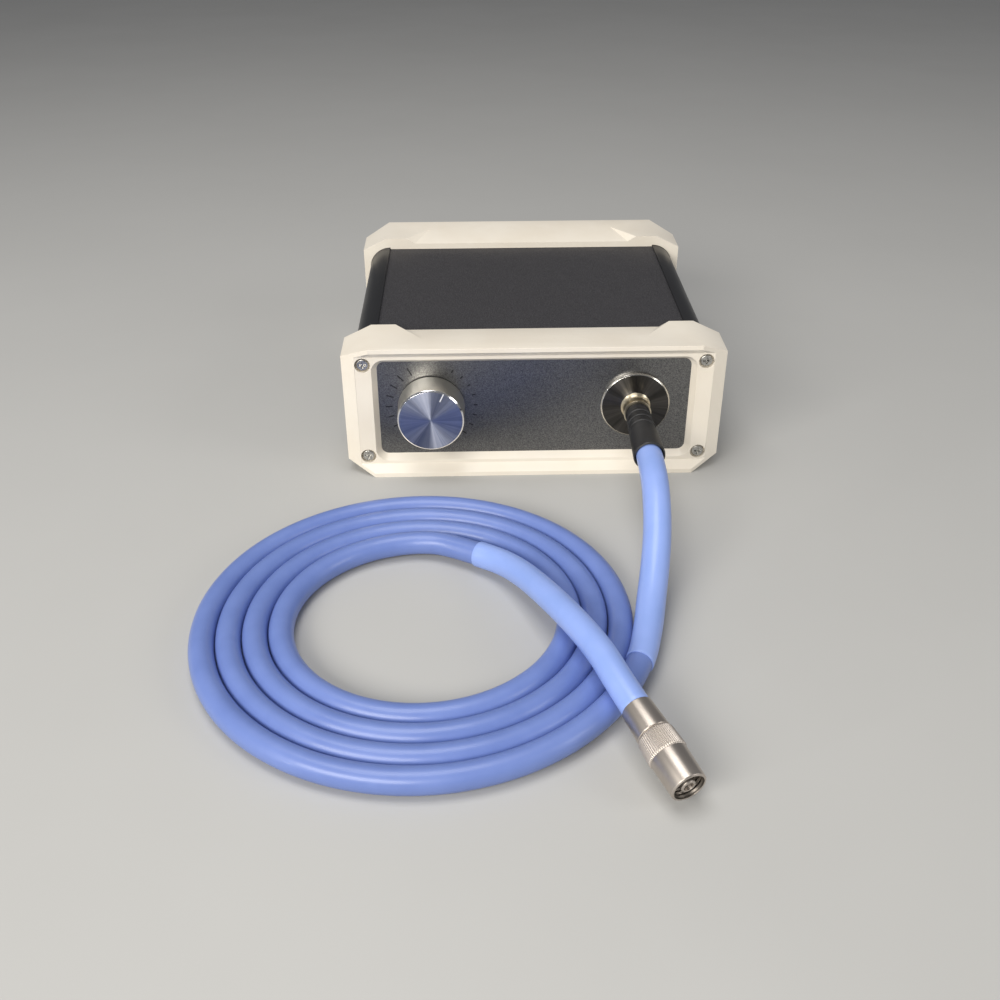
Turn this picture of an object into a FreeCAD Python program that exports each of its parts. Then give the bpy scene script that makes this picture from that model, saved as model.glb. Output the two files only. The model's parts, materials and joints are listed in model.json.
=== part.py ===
import FreeCAD, Part
import math
import os

V = FreeCAD.Vector

# All sizes are in millimetres. +Z is up, the front panel faces -Y and X runs from the dial to the
# lamp socket. The origin lies on the table, under the middle of the box with its dial.

# Case
bezelWidth = 150.0
bezelHeight = 56.0
bodyDepth = 150.0
bezelDepth = 24.3
cornerRun = 11.0
cornerDrop = 5.3
sideSweep = 6.5
rimStrip = 1.8
rimSlope = 2.75
trayDepth = 3.35
trayStrip = 1.3
windowSlope = 2.0
windowRadius = 3.0
windowMargin = 0.4
panelDepth = 6.35
panelThickness = 2.0
notchStart = 10.3
notchDrop = 2.4
notchOuter = 54.4
notchInner = 43.6
notchLow = 50.5
notchRun = bezelDepth - notchStart

# Housing: two side profiles with a flat cover above and below
housingOverhang = 3.0
housingInset = 4.4
housingRadius = 9.6
lipStep = 0.8
lipOverlap = 1.6
wallThickness = 2.0
coverThickness = 2.0
channelBlock = 6.5
supportLip = 1.3
supportReach = 1.0
slideGap = 0.05
bezelFit = 0.15

# Case screws
screwInsetX = 8.5
screwInsetZ = 8.0
screwRadius = 1.45
screwHeadRadius = 2.6
screwHeadHeight = 1.4
screwHeadBevel = 0.5
screwLength = 10.0
counterboreRadius = 3.0
counterboreDepth = 1.8
screwHoleRadius = 1.6
channelRadius = 1.5
slotWidth = 0.7
slotLength = 2.8
slotDepth = 0.9

# Dial
controlRise = 0.6
dialX = -40.6
knobRadius = 12.9
knobBaseRadius = 13.2
knobProud = 6.0
knobGap = 0.5
knobChamfer = 0.45
knobSkirt = 1.5
knobHubRadius = 5.6
knobRecess = 6.0
knobCrown = 2.0
indexAngle = 24.7
indexInner = 9.0
indexWidth = 0.5
indexDepth = 0.3
setScrewRadius = 1.5
setScrewLength = 4.0
setScrewSetback = 4.0
setScrewSocket = 1.5
shaftRadius = 3.0
shaftLength = 20.0
bushRadius = 3.5
bushLength = 5.0
potRadius = 8.5
potDepth = 9.5
tagSpread = 5.0
tagWidth = 2.0
tagThickness = 0.6
tagSetback = 3.0
tagLength = 4.0
tagRoot = 2.0
nutThickness = 2.0
nutAcross = 10.0
washerRadius = 5.8
washerThickness = 0.5
fitGap = 0.05

# Lamp socket and the plug of the light guide
socketX = 40.1
flangeRadius = 13.75
flangeThickness = 1.75
flangeChamfer = 0.6
flareFoot = 9.0
flareRadius = 5.9
flareHeight = 2.35
barrelRadius = 8.0
barrelLength = 9.0
socketNutAcross = 21.0
socketNutThickness = 3.0
ferruleRadius = 4.0
ferruleReach = 14.0
ferruleBore = 2.5
ferruleChamfer = 0.5
collarNeck = 4.5
collarWaist = 0.4
collarRim = 5.4
collarLength = 6.0
collarPocket = 1.0
collarSeat = 1.0
spigotRadius = 3.3
spigotLength = 7.0
bootFront = 4.4
bootRibRadius = 4.9
bootRibHeight = 0.35
bootRibPitch = 4.5
bootRibs = 3
bootRibStart = 8.8
bootShoulder = 5.45
bootEnd = 5.9
bootLength = 34.9
bootMouth = 5.3
bootMouthDepth = 3.0
bootRim = 0.4
bootRise = 1.0
bootRibBack = 0.3
bootEdge = 0.5
sleeveEntry = 5.0

# Light guide: bare cord, and the two thicker sleeves that its ends run in
cordDiameter = 8.25
leadSleeveRadius = 4.85
tailSleeveRadius = 4.5
sleeveGap = 0.1
coilX = -41.5
coilY = -169.1
coilRadius = 72.3
coilPitch = 8.79
coilQuarters = 13
coilStartAngle = 72.0
coilTopRadius = 42.2
coilEndRadius = 25.0
coilEndAngle = 36.0
coilStartTilt = 2.5
coilEndTilt = 1.4
leadRun = 15.0
entryRun = 9.2
leaveRun = 7.0
tipRun = 11.0

# Far end of the guide: collar, turning nut and the tube with the fibres
tipX = 21.35
tipY = -223.3
tipZ = 12.5
tipReach = (11.0, -26.4, -4.5)
tipCollarBack = 4.85
tipCollarRadius = 5.2
tipCollarLength = 10.3
tipCollarWall = 1.5
tipCollarEdge = 0.3
tipSocketDepth = 3.0
spindleLength = 3.0
nutRingRadius = 5.85
nutRingLength = 7.8
nutCupRadius = 5.55
nutCupLength = 10.9
nutBore = 4.4
nutThreadDepth = 0.35
nutThreadPitch = 1.2
nutThreads = 5
nutChamfer = 0.5
nutRim = 0.8
nutRimDepth = 0.6
threadRunOut = 0.6
knurlTeeth = 54
knurlDepth = 0.25
postRadius = 2.3
postBore = 1.5
postInset = 0.3
fibreInset = 2.0
turnGap = 0.06

# Lamp: bracket, cooled light source and the two lenses that feed the guide
bracketThickness = 2.0
bracketGap = 0.5
bracketFootInset = 3.0
bracketSideInset = 4.0
bracketFront = 37.65
bracketFoot = 34.0
lensThickness = 5.5
lensEdge = 1.6
lensTubeWall = 2.0
lensTubeLength = 22.0
lensTubeFlangeThickness = 3.5
lensStop = 1.5
spacerLength = 4.6
ringLength = 2.0
ledBoardThickness = 1.6
ledSide = 6.0
ledDome = 2.6
lampScrewRadius = 1.2
lampScrewHead = 2.1
lampScrewMargin = 0.5
lampScrewClear = 0.35
lampScrewBite = 4.5
sinkSideGap = 0.8
sinkTopGap = 1.6
sinkFinRise = 5.0
sinkBase = 5.0
sinkFins = 9
sinkFinThickness = 1.2
sinkFinLength = 30.0

# Fan
fanX = 38.0
fanClearance = 0.8
fanWall = 1.2
fanDepth = 10.0
fanHoleInset = 4.0
fanCorner = 2.5
fanHubRadius = 9.0
fanBlades = 7
fanBladeThickness = 1.0
fanBladeAngle = 38.0
fanBladeTip = 0.8
fanStrut = 2.4
fanStrutDepth = 1.6
fanAxleRadius = 1.0
fanBossRadius = 3.0
ventRings = 3
ventInner = 6.0
ventMargin = 0.92
ventBridge = 1.44
ventRib = 2.4
fanScrewHead = 2.6
fanScrewHeadHeight = 1.2
fanNutAcross = 5.5
fanNutThickness = 2.0

# Power inlet and switch
inletX = -33.0
inletFlangeWidth = 48.0
inletFlangeHeight = 24.0
inletFlangeThickness = 2.5
inletBodyWidth = 27.5
inletBodyHeight = 19.5
inletBodyDepth = 20.0
inletCavityWidth = 24.0
inletCavityHeight = 16.5
inletCavityDepth = 16.0
inletScrewSpacing = 40.0
pinWidth = 4.0
pinThickness = 2.0
pinLength = 14.0
pinSpacing = 7.0
pinRise = 3.5
switchX = 4.5
switchFrameWidth = 21.0
switchFrameHeight = 24.0
switchFrameThickness = 2.0
switchBodyWidth = 17.0
switchBodyHeight = 20.0
switchBodyDepth = 14.0
rockerWidth = 13.0
rockerHeight = 17.0
rockerProud = 2.4
rockerDepth = 5.0
rockerTilt = 11.0
rockerPivotRadius = 1.2
rockerGap = 0.7

# Supply board
boardWidth = 52.0
boardLength = 78.0
boardThickness = 1.6
boardX = -33.0
boardRear = 23.3
boardInset = 4.0
standoffRadius = 3.0
standoffHeight = 6.0
transformerWidth = 24.0
transformerSetback = 24.0
windingReach = 3.0
partGap = 1.0
transformerHeight = 20.0
capacitorRadius = 6.0
capacitorHeight = 18.0
capacitorSpread = 9.0
capacitorSetback = 17.0
terminalWidth = 8.0
terminalLength = 15.0
terminalHeight = 10.0
terminalInset = 5.5
mainsTerminalX = -6.0
mainsTerminalInset = 8.0
lampTerminalInset = 20.0
fanTerminalInset = 18.0

# Places that follow from the sizes above
frontRidge = (knobProud - bodyDepth) / 2
middleY = frontRidge + bodyDepth / 2
halfWidth = bezelWidth / 2
midHeight = bezelHeight / 2
controlHeight = midHeight + controlRise
panelFace = frontRidge + panelDepth
panelBack = panelFace + panelThickness
rearPanelBack = 2 * middleY - panelBack
housingWidth = bezelWidth - 2 * housingOverhang
housingHeight = bezelHeight - 2 * housingInset
housingTop = bezelHeight - housingInset
seamX = housingWidth / 2 - housingRadius
coverTop = housingTop - lipStep
coverBottom = coverTop - coverThickness
floorTop = bezelHeight - coverBottom
innerHeight = coverBottom - floorTop
bracketWidth = 2 * (seamX - supportReach - bracketGap - socketX)
lensTubeFlange = innerHeight / 2 - controlRise - sinkTopGap
lampScrewCircle = lensTubeFlange - lampScrewHead - lampScrewMargin
lensRadius = lampScrewCircle - lampScrewHead - lampScrewClear - lensTubeWall - fitGap
ledBoardRadius = lensRadius - lensStop
sinkWidth = bracketWidth - 2 * sinkSideGap
sinkHeight = innerHeight - bracketThickness - sinkTopGap
fanSide = innerHeight - 2 * fanClearance
fanBore = fanSide / 2 - fanWall
fanHoleSpacing = fanSide - 2 * fanHoleInset
ventStep = (fanBore - ventMargin - ventInner + ventBridge) / ventRings
boardEnd = rearPanelBack - boardRear
boardStart = boardEnd - boardLength
windowInset = rimStrip + rimSlope + trayStrip
trayHalf = halfWidth - cornerRun + cornerRun * trayDepth / sideSweep
windowHalf = trayHalf - 2 * counterboreRadius - windowMargin
cordRadius = cordDiameter / 2


def box(x0, x1, y0, y1, z0, z1):
    return Part.makeBox(x1 - x0, y1 - y0, z1 - z0, V(x0, y0, z0))


def cylinderY(radius, x, z, y0, y1):
    return Part.makeCylinder(radius, y1 - y0, V(x, y0, z), V(0, 1, 0))


def cylinderZ(radius, x, y, z0, z1):
    return Part.makeCylinder(radius, z1 - z0, V(x, y, z0), V(0, 0, 1))


def prismY(points, y0, y1):
    """A prism along Y over (x, z) points."""
    corners = [V(x, y0, z) for x, z in points]
    face = Part.Face(Part.makePolygon(corners + corners[:1]))
    return face.extrude(V(0, y1 - y0, 0))


def prismX(points, x0, x1):
    """A prism along X over (y, z) points."""
    corners = [V(x0, y, z) for y, z in points]
    face = Part.Face(Part.makePolygon(corners + corners[:1]))
    return face.extrude(V(x1 - x0, 0, 0))


def roundedY(width, height, radius, x, z, y0, y1):
    """A plate along Y with round corners, centred on (x, z)."""
    plate = box(x - width / 2, x + width / 2, y0, y1, z - height / 2, z + height / 2)
    corners = [edge for edge in plate.Edges
               if abs(edge.Vertexes[0].Y - edge.Vertexes[1].Y) > 1e-6]
    return plate.makeFillet(radius, corners)


def polyhedron(faces):
    shell = Part.makeShell([Part.Face(Part.makePolygon(list(f) + [f[0]])) for f in faces])
    solid = Part.makeSolid(shell)
    if solid.Volume < 0:
        solid.reverse()
    return solid


def turned(profile, base, axis):
    """A solid of revolution: profile lists (radius, distance along the axis from base)."""
    outward = V(0, 0, 1) if abs(axis.z) < 0.9 else V(1, 0, 0)
    outward = (outward - axis * outward.dot(axis)).normalize()
    points = [base + axis * along + outward * radius for radius, along in profile]
    face = Part.Face(Part.makePolygon(points + points[:1]))
    return face.revolve(base, axis, 360)


def hexPrism(across, thickness, base, axis):
    prism = Part.Face(Part.makePolygon(
        [V(across / math.sqrt(3) * math.cos(k * math.pi / 3),
           across / math.sqrt(3) * math.sin(k * math.pi / 3), 0) for k in range(7)]
    )).extrude(V(0, 0, thickness))
    prism.Placement = FreeCAD.Placement(base, FreeCAD.Rotation(V(0, 0, 1), axis))
    return prism


def mirroredY(shape):
    """The same shape at the other end of the case."""
    return shape.mirror(V(0, middleY, 0), V(0, 1, 0))


def union(shapes):
    joined = shapes[0]
    for shape in shapes[1:]:
        joined = joined.fuse(shape)
    return joined.removeSplitter()


def export(name, shape):
    solids = shape.Solids
    result = solids[0] if len(solids) == 1 else Part.makeCompound(solids)
    if not result.isValid() or not solids:
        raise ValueError(name + " is not a valid solid")
    result.exportStep("parts/" + name + ".step")
    print(name, len(solids), "solid(s)", round(sum(s.Volume for s in solids), 1), "mm3")


def screwPlaces():
    return [(sx * (halfWidth - screwInsetX), z) for sx in (-1, 1)
            for z in (screwInsetZ, bezelHeight - screwInsetZ)]


def notchCutter():
    """The sloped notch in the upper edge of a bezel, wider at the edge that meets the housing."""
    beyond = (notchRun + 1.0) / notchRun
    rise = 1.0
    spread = (notchOuter - notchLow) / notchDrop
    edgeY = frontRidge + notchStart + notchRun * beyond
    lowX = notchInner + (notchLow - notchInner) * beyond
    topX = notchInner + (notchOuter - notchInner) * beyond
    lowZ = bezelHeight - notchDrop * beyond
    startY = frontRidge + notchStart
    highZ = bezelHeight + rise
    corner = {}
    for sign in (-1, 1):
        corner[sign, "start"] = V(sign * notchInner, startY, bezelHeight)
        corner[sign, "startTop"] = V(sign * (notchInner + spread * rise), startY, highZ)
        corner[sign, "low"] = V(sign * lowX, edgeY, lowZ)
        corner[sign, "top"] = V(sign * (topX + spread * rise), edgeY, highZ)
    c = corner
    return polyhedron([
        [c[-1, "start"], c[1, "start"], c[1, "low"], c[-1, "low"]],
        [c[-1, "startTop"], c[-1, "top"], c[1, "top"], c[1, "startTop"]],
        [c[-1, "start"], c[-1, "startTop"], c[1, "startTop"], c[1, "start"]],
        [c[-1, "low"], c[1, "low"], c[1, "top"], c[-1, "top"]],
        [c[1, "start"], c[1, "startTop"], c[1, "top"], c[1, "low"]],
        [c[-1, "start"], c[-1, "low"], c[-1, "top"], c[-1, "startTop"]],
    ])


def housingSection(grow, y0, y1):
    """The outline that the bezels grip: round corners, and covers set a little lower."""
    plate = roundedY(housingWidth + 2 * grow, housingHeight + 2 * grow, housingRadius + grow,
                     0, midHeight, y0, y1)
    stepZ = coverTop + grow
    stepX = seamX - grow
    upper = box(-stepX, stepX, y0 - 1, y1 + 1, stepZ, bezelHeight)
    lower = box(-stepX, stepX, y0 - 1, y1 + 1, 0, bezelHeight - stepZ)
    return plate.cut(upper).cut(lower)


def bezel():
    front = frontRidge
    back = frontRidge + bezelDepth
    top = bezelHeight
    outline = [(-halfWidth + cornerRun, 0), (halfWidth - cornerRun, 0), (halfWidth, cornerDrop),
               (halfWidth, top - cornerDrop), (halfWidth - cornerRun, top),
               (-halfWidth + cornerRun, top), (-halfWidth, top - cornerDrop),
               (-halfWidth, cornerDrop)]
    body = prismY(outline, front, back)
    for sign in (-1, 1):
        inner = V(sign * (halfWidth - cornerRun), front, -1)
        outer = V(sign * (halfWidth + 1), front + sideSweep * (cornerRun + 1) / cornerRun, -1)
        off = V(sign * (halfWidth + 1), front - 1, -1)
        near = V(sign * (halfWidth - cornerRun), front - 1, -1)
        wedge = Part.Face(Part.makePolygon([inner, outer, off, near, inner]))
        body = body.cut(wedge.extrude(V(0, 0, top + 2)))
    ledge = rimStrip + rimSlope
    lip = rimSlope / trayDepth
    body = body.cut(prismX([(front - 1, rimStrip - lip), (front + trayDepth, ledge),
                            (front + trayDepth, top - ledge), (front - 1, top - rimStrip + lip)],
                           -halfWidth - 1, halfWidth + 1))
    body = body.cut(windowCutter())
    body = body.cut(housingSection(bezelFit, panelFace, back + 1))
    notch = notchCutter()
    body = body.cut(notch)
    body = body.cut(notch.mirror(V(0, 0, midHeight), V(0, 0, 1)))
    for x, z in screwPlaces():
        seat = front + trayDepth + counterboreDepth
        body = body.cut(cylinderY(counterboreRadius, x, z, front, seat))
        body = body.cut(cylinderY(screwHoleRadius, x, z, front, panelBack))
    return body


def windowCutter():
    """The opening for the panel, with sloped sides between the tray and the panel."""
    trayY = frontRidge + trayDepth
    narrow = (windowHalf - windowSlope, midHeight - windowInset - windowSlope)
    wires = []
    for y, (halfX, halfZ), radius in (
            (trayY, (windowHalf, midHeight - windowInset), windowRadius + windowSlope),
            (panelFace, narrow, windowRadius)):
        face = roundedY(2 * halfX, 2 * halfZ, radius, 0, midHeight, y, y + 1)
        ring = min(face.Faces, key=lambda f: f.CenterOfMass.y)
        wires.append(ring.OuterWire)
    funnel = Part.makeLoft(wires, True, True)
    through = roundedY(2 * narrow[0], 2 * narrow[1], windowRadius, 0, midHeight,
                       panelFace - 0.5, panelFace + 1)
    return funnel.fuse(through)


def panelBlank():
    panel = housingSection(0, panelFace, panelBack)
    for x, z in screwPlaces():
        panel = panel.cut(cylinderY(screwHoleRadius, x, z, panelFace - 1, panelBack + 1))
    return panel


def frontPanel():
    panel = panelBlank()
    panel = panel.cut(cylinderY(bushRadius + fitGap, dialX, controlHeight,
                                panelFace - 1, panelBack + 1))
    return panel.cut(cylinderY(barrelRadius + fitGap, socketX, controlHeight,
                               panelFace - 1, panelBack + 1))


def ventCutter():
    """Rings of slots in front of the fan, left whole across four ribs."""
    y0 = rearPanelBack - 1
    y1 = rearPanelBack + panelThickness + 1
    slots = []
    for ring in range(ventRings):
        radius = ventInner + ring * ventStep
        outer = cylinderY(radius + ventStep - ventBridge, fanX, midHeight, y0, y1)
        slots.append(outer.cut(cylinderY(radius, fanX, midHeight, y0, y1)))
    rings = slots[0].fuse(slots[1:])
    reach = fanSide
    for angle in (45, 135):
        bar = box(-reach, reach, y0, y1, -ventRib / 2, ventRib / 2)
        bar.rotate(V(0, 0, 0), V(0, 1, 0), angle)
        bar.translate(V(fanX, 0, midHeight))
        rings = rings.cut(bar)
    return rings


def fanHoles():
    half = fanHoleSpacing / 2
    return [(fanX + sx * half, midHeight + sz * half) for sx in (-1, 1) for sz in (-1, 1)]


def inletHoles():
    return [(inletX + s * inletScrewSpacing / 2, midHeight) for s in (-1, 1)]


def rearPanel():
    panel = mirroredY(panelBlank())
    y0 = rearPanelBack - 1
    y1 = rearPanelBack + panelThickness + 1
    panel = panel.cut(ventCutter())
    for x, z in fanHoles() + inletHoles():
        panel = panel.cut(cylinderY(screwHoleRadius, x, z, y0, y1))
    grow = 2 * fitGap
    panel = panel.cut(box(inletX - inletBodyWidth / 2 - grow, inletX + inletBodyWidth / 2 + grow,
                          y0, y1, midHeight - inletBodyHeight / 2 - grow,
                          midHeight + inletBodyHeight / 2 + grow))
    return panel.cut(box(switchX - switchBodyWidth / 2 - grow, switchX + switchBodyWidth / 2 + grow,
                         y0, y1, midHeight - switchBodyHeight / 2 - grow,
                         midHeight + switchBodyHeight / 2 + grow))


def sideProfile(sign):
    """One extruded side: round corners, a groove for each cover and two screw channels."""
    y0, y1 = panelBack, rearPanelBack
    inner = seamX - supportReach
    outer = housingWidth / 2
    grooveX = seamX + lipOverlap + slideGap
    blockZ = housingInset + channelBlock
    blockX = halfWidth - screwInsetX - channelRadius - supportLip
    body = roundedY(housingWidth, housingHeight, housingRadius, 0, midHeight, y0, y1)
    body = body.common(box(inner, outer + 1, y0, y1, 0, bezelHeight))
    hollow = [
        box(0, seamX, y0, y1, coverBottom - slideGap, bezelHeight),
        box(0, grooveX, y0, y1, coverBottom - slideGap, coverTop + slideGap),
        box(0, outer - wallThickness, y0, y1, midHeight, bezelHeight - blockZ),
        box(0, blockX, y0, y1, midHeight, coverBottom - supportLip),
        cylinderY(channelRadius, halfWidth - screwInsetX, bezelHeight - screwInsetZ, y0, y1),
    ]
    for cutter in hollow:
        body = body.cut(cutter)
        body = body.cut(cutter.mirror(V(0, 0, midHeight), V(0, 0, 1)))
    return body if sign > 0 else body.mirror(V(0, 0, 0), V(1, 0, 0))


def cover(z0):
    half = seamX + lipOverlap
    return box(-half, half, panelBack, rearPanelBack, z0, z0 + coverThickness)


def crossHead(x, z, face, depth, way):
    """The cross slot of a screw whose head's face lies at y = face and looks along way."""
    y0, y1 = sorted((face, face - way * depth))
    bar = box(x - slotLength / 2, x + slotLength / 2, y0, y1, z - slotWidth / 2, z + slotWidth / 2)
    post = box(x - slotWidth / 2, x + slotWidth / 2, y0, y1, z - slotLength / 2, z + slotLength / 2)
    return bar.fuse(post)


def caseScrews():
    seat = frontRidge + trayDepth + counterboreDepth
    face = seat - screwHeadHeight
    screws = []
    for x, z in screwPlaces():
        head = turned([(0, 0), (screwHeadRadius - screwHeadBevel, 0), (screwHeadRadius, screwHeadBevel),
                       (screwHeadRadius, screwHeadHeight), (0, screwHeadHeight)],
                      V(x, face, z), V(0, 1, 0))
        shank = cylinderY(screwRadius, x, z, seat, seat + screwLength)
        screws.append(head.fuse(shank).removeSplitter().cut(crossHead(x, z, face, slotDepth, -1)))
    return Part.makeCompound(screws)


def knobFrame(radius, along, angle=0.0):
    """A point on the dial: radius from its axis, along the axis, turned clockwise from up."""
    a = math.radians(angle)
    return V(dialX + radius * math.sin(a), along, controlHeight + radius * math.cos(a))


def knob():
    face = frontRidge - knobProud
    base = panelFace - knobGap
    length = base - face
    blank = turned([(0, 0), (knobRadius - knobChamfer, 0), (knobRadius, knobChamfer),
                    (knobBaseRadius, length), (0, length)],
                   V(dialX, face, controlHeight), V(0, 1, 0))
    recess = cylinderY(knobRadius - knobSkirt, dialX, controlHeight, base - knobRecess, base + 1)
    hub = cylinderY(knobHubRadius, dialX, controlHeight, base - knobRecess, base + 1)
    bottomOfHub = panelFace - bushLength - fitGap * 4
    recess = recess.cut(hub).fuse(cylinderY(knobHubRadius + 1, dialX, controlHeight,
                                            bottomOfHub, base + 1))
    body = blank.cut(recess)
    body = body.cut(cylinderY(shaftRadius + fitGap / 2, dialX, controlHeight,
                              face + knobCrown, base + 1))
    groove = box(-indexWidth / 2, indexWidth / 2, face - 1, face + indexDepth,
                 indexInner, knobBaseRadius + 1)
    groove.rotate(V(0, 0, 0), V(0, 1, 0), indexAngle)
    groove.translate(V(dialX, 0, controlHeight))
    body = body.cut(groove)
    return body.cut(setScrewHole())


def setScrewPlace():
    """Middle of the set screw, and its direction from the dial's axis."""
    outward = knobFrame(1, 0, indexAngle + 180) - knobFrame(0, 0)
    along = frontRidge - knobProud + setScrewSetback
    return knobFrame(0, along), outward


def setScrewHole():
    centre, outward = setScrewPlace()
    return Part.makeCylinder(setScrewRadius + fitGap / 2, knobBaseRadius + 1, centre, outward)


def knobSetScrew():
    centre, outward = setScrewPlace()
    start = centre + outward * (shaftRadius + fitGap)
    body = Part.makeCylinder(setScrewRadius, setScrewLength, start, outward)
    end = start + outward * setScrewLength
    return body.cut(hexPrism(setScrewSocket, setScrewSocket, end - outward * setScrewSocket, outward))


def dialShaft():
    start = frontRidge - knobProud + knobCrown + fitGap
    return cylinderY(shaftRadius, dialX, controlHeight, start, start + shaftLength)


def dialSensor():
    """The potentiometer: body behind the panel, threaded bush through it, three tags below."""
    shaftEnd = frontRidge - knobProud + knobCrown + fitGap + shaftLength
    body = cylinderY(potRadius, dialX, controlHeight, panelBack, panelBack + potDepth)
    bush = cylinderY(bushRadius, dialX, controlHeight, panelFace - bushLength, panelBack)
    body = body.fuse(bush)
    body = body.cut(cylinderY(shaftRadius + fitGap, dialX, controlHeight,
                              panelFace - bushLength - 1, shaftEnd + fitGap))
    under = controlHeight - potRadius
    for side in (-1, 0, 1):
        x = dialX + side * tagSpread
        tag = box(x - tagWidth / 2, x + tagWidth / 2, panelBack + tagSetback,
                  panelBack + tagSetback + tagThickness, under - tagLength, under + tagRoot)
        body = body.fuse(tag)
    return body.removeSplitter()


def dialWasher():
    ring = cylinderY(washerRadius, dialX, controlHeight, panelFace - washerThickness, panelFace)
    return ring.cut(cylinderY(bushRadius + fitGap, dialX, controlHeight,
                              panelFace - 1, panelFace + 1))


def dialNut():
    start = panelFace - washerThickness - nutThickness
    nut = hexPrism(nutAcross, nutThickness, V(dialX, start, controlHeight), V(0, 1, 0))
    return nut.cut(cylinderY(bushRadius + fitGap, dialX, controlHeight, start - 1, panelFace))


def socketBase():
    return V(socketX, panelFace, controlHeight)


def socketFlange():
    """The flared disc on the panel, with its threaded barrel through it."""
    steps = 6
    profile = [(ferruleRadius + fitGap, -panelThickness - barrelLength),
               (ferruleRadius + fitGap, flareHeight)]
    for k in range(steps + 1):
        a = math.pi / 2 * k / steps
        profile.append((flareRadius + (flareFoot - flareRadius) * (1 - math.cos(a)),
                        flangeThickness + (flareHeight - flangeThickness) * (1 - math.sin(a))))
    profile += [(flangeRadius - flangeChamfer, flangeThickness),
                (flangeRadius, flangeThickness - flangeChamfer), (flangeRadius, 0),
                (barrelRadius, 0), (barrelRadius, -panelThickness - barrelLength)]
    return turned(profile, socketBase(), V(0, -1, 0))


def socketNut():
    nut = hexPrism(socketNutAcross, socketNutThickness,
                   V(socketX, panelBack, controlHeight), V(0, 1, 0))
    return nut.cut(cylinderY(barrelRadius + fitGap, socketX, controlHeight,
                             panelBack - 1, panelBack + socketNutThickness + 1))


def plugCollar():
    """The waisted metal ring of the plug, from the flange to the boot."""
    rear = flareHeight + fitGap
    front = rear + collarLength
    steps = 8
    waist = []
    for k in range(steps + 1):
        t = k / steps
        swell = flareRadius if t < collarWaist else collarRim
        span = collarWaist if t < collarWaist else 1 - collarWaist
        bend = ((t - collarWaist) / span) ** 2
        waist.append((collarNeck + (swell - collarNeck) * bend, rear + collarLength * t))
    profile = [(ferruleRadius, rear)] + waist
    profile += [(bootFront + fitGap, front), (bootFront + fitGap, front - collarPocket),
                (spigotRadius, front - collarPocket), (spigotRadius, front + spigotLength),
                (ferruleBore, front + spigotLength), (ferruleBore, rear + collarSeat),
                (ferruleRadius, rear + collarSeat)]
    return turned(profile, socketBase(), V(0, -1, 0))


def plugFerrule():
    """The straight steel tube that goes into the socket."""
    end = -panelThickness - ferruleReach
    seat = flareHeight + fitGap + collarSeat
    profile = [(ferruleBore, end), (ferruleRadius - ferruleChamfer, end),
               (ferruleRadius, end + ferruleChamfer), (ferruleRadius, seat), (ferruleBore, seat)]
    return turned(profile, socketBase(), V(0, -1, 0))


def fibreRod(base, axis, radius, length):
    return Part.makeCylinder(radius, length, base, axis)


def bootStart():
    return flareHeight + fitGap + collarLength - collarPocket


def plugBoot():
    """The ribbed rubber boot, with its mouth a little wider than the sleeve in it."""
    start = bootStart() + fitGap
    end = start + bootLength
    outer = [(bootFront, start), (bootFront, start + collarPocket + bootRim),
             (bootRibRadius, start + collarPocket + bootRim + bootRise)]
    for k in range(bootRibs):
        at = start + bootRibStart + (k - 0.5) * bootRibPitch
        swell = bootRibRadius + (bootShoulder - bootRibRadius) * (k + 1) / (bootRibs + 1)
        outer += [(swell - bootRibHeight, at - bootRibPitch * 0.4), (swell, at),
                  (swell - bootRibHeight, at + bootRibBack)]
    shoulder = start + bootRibStart + (bootRibs - 0.5) * bootRibPitch
    outer += [(bootShoulder, shoulder), (bootEnd, end - bootEdge), (bootEnd - bootEdge, end)]
    grip = leadSleeveRadius + fitGap
    spigotEnd = collarPocket + spigotLength + bootRise
    inner = [(bootMouth, end), (bootMouth, end - bootMouthDepth),
             (grip, end - bootMouthDepth - bootEdge), (grip, start + spigotEnd),
             (spigotRadius + fitGap, start + spigotEnd),
             (spigotRadius + fitGap, start)]
    return turned(outer + inner, socketBase(), V(0, -1, 0))


def routeWire(points):
    """Straight runs joined by arcs that touch both, as large as the shorter run allows."""
    edges = []
    radii = []
    start = points[0]
    for before, corner, after in zip(points, points[1:], points[2:]):
        inward = (corner - before).normalize()
        onward = (after - corner).normalize()
        reach = 0.45 * min((corner - before).Length, (after - corner).Length)
        turn = math.acos(max(-1.0, min(1.0, inward.dot(onward))))
        radius = reach / math.tan(turn / 2)
        radii.append(round(radius, 1))
        first = corner - inward * reach
        last = corner + onward * reach
        bisector = (onward - inward).normalize()
        middle = corner + bisector * (radius / math.cos(turn / 2) - radius)
        edges.append(Part.LineSegment(start, first).toShape())
        edges.append(Part.Arc(first, middle, last).toShape())
        start = last
    edges.append(Part.LineSegment(start, points[-1]).toShape())
    return Part.Wire(edges), radii


def pipe(wire, radius):
    start = wire.OrderedVertexes[0].Point
    first = wire.OrderedEdges[0]
    low, high = first.ParameterRange
    tangent = first.tangentAt(low)
    if (first.valueAt(low) - start).Length > 1e-6:
        tangent = first.tangentAt(high) * -1
    ring = Part.Wire([Part.Circle(start, tangent, radius).toShape()])
    return wire.makePipeShell([ring], True, False)


def coilArc(point, heading, inward, radius, angle):
    """One turn of the coil: its edge, and the point, heading and inward direction at its end."""
    centre = point + inward * radius

    def at(a):
        return centre - inward * (radius * math.cos(a)) + heading * (radius * math.sin(a))

    edge = Part.Arc(point, at(angle / 2), at(angle)).toShape()
    newHeading = heading * math.cos(angle) + inward * math.sin(angle)
    newInward = inward * math.cos(angle) - heading * math.sin(angle)
    return edge, at(angle), newHeading, newInward


def tilted(inward, degrees):
    a = math.radians(degrees)
    return inward * math.cos(a) + V(0, 0, 1) * math.sin(a)


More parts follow.
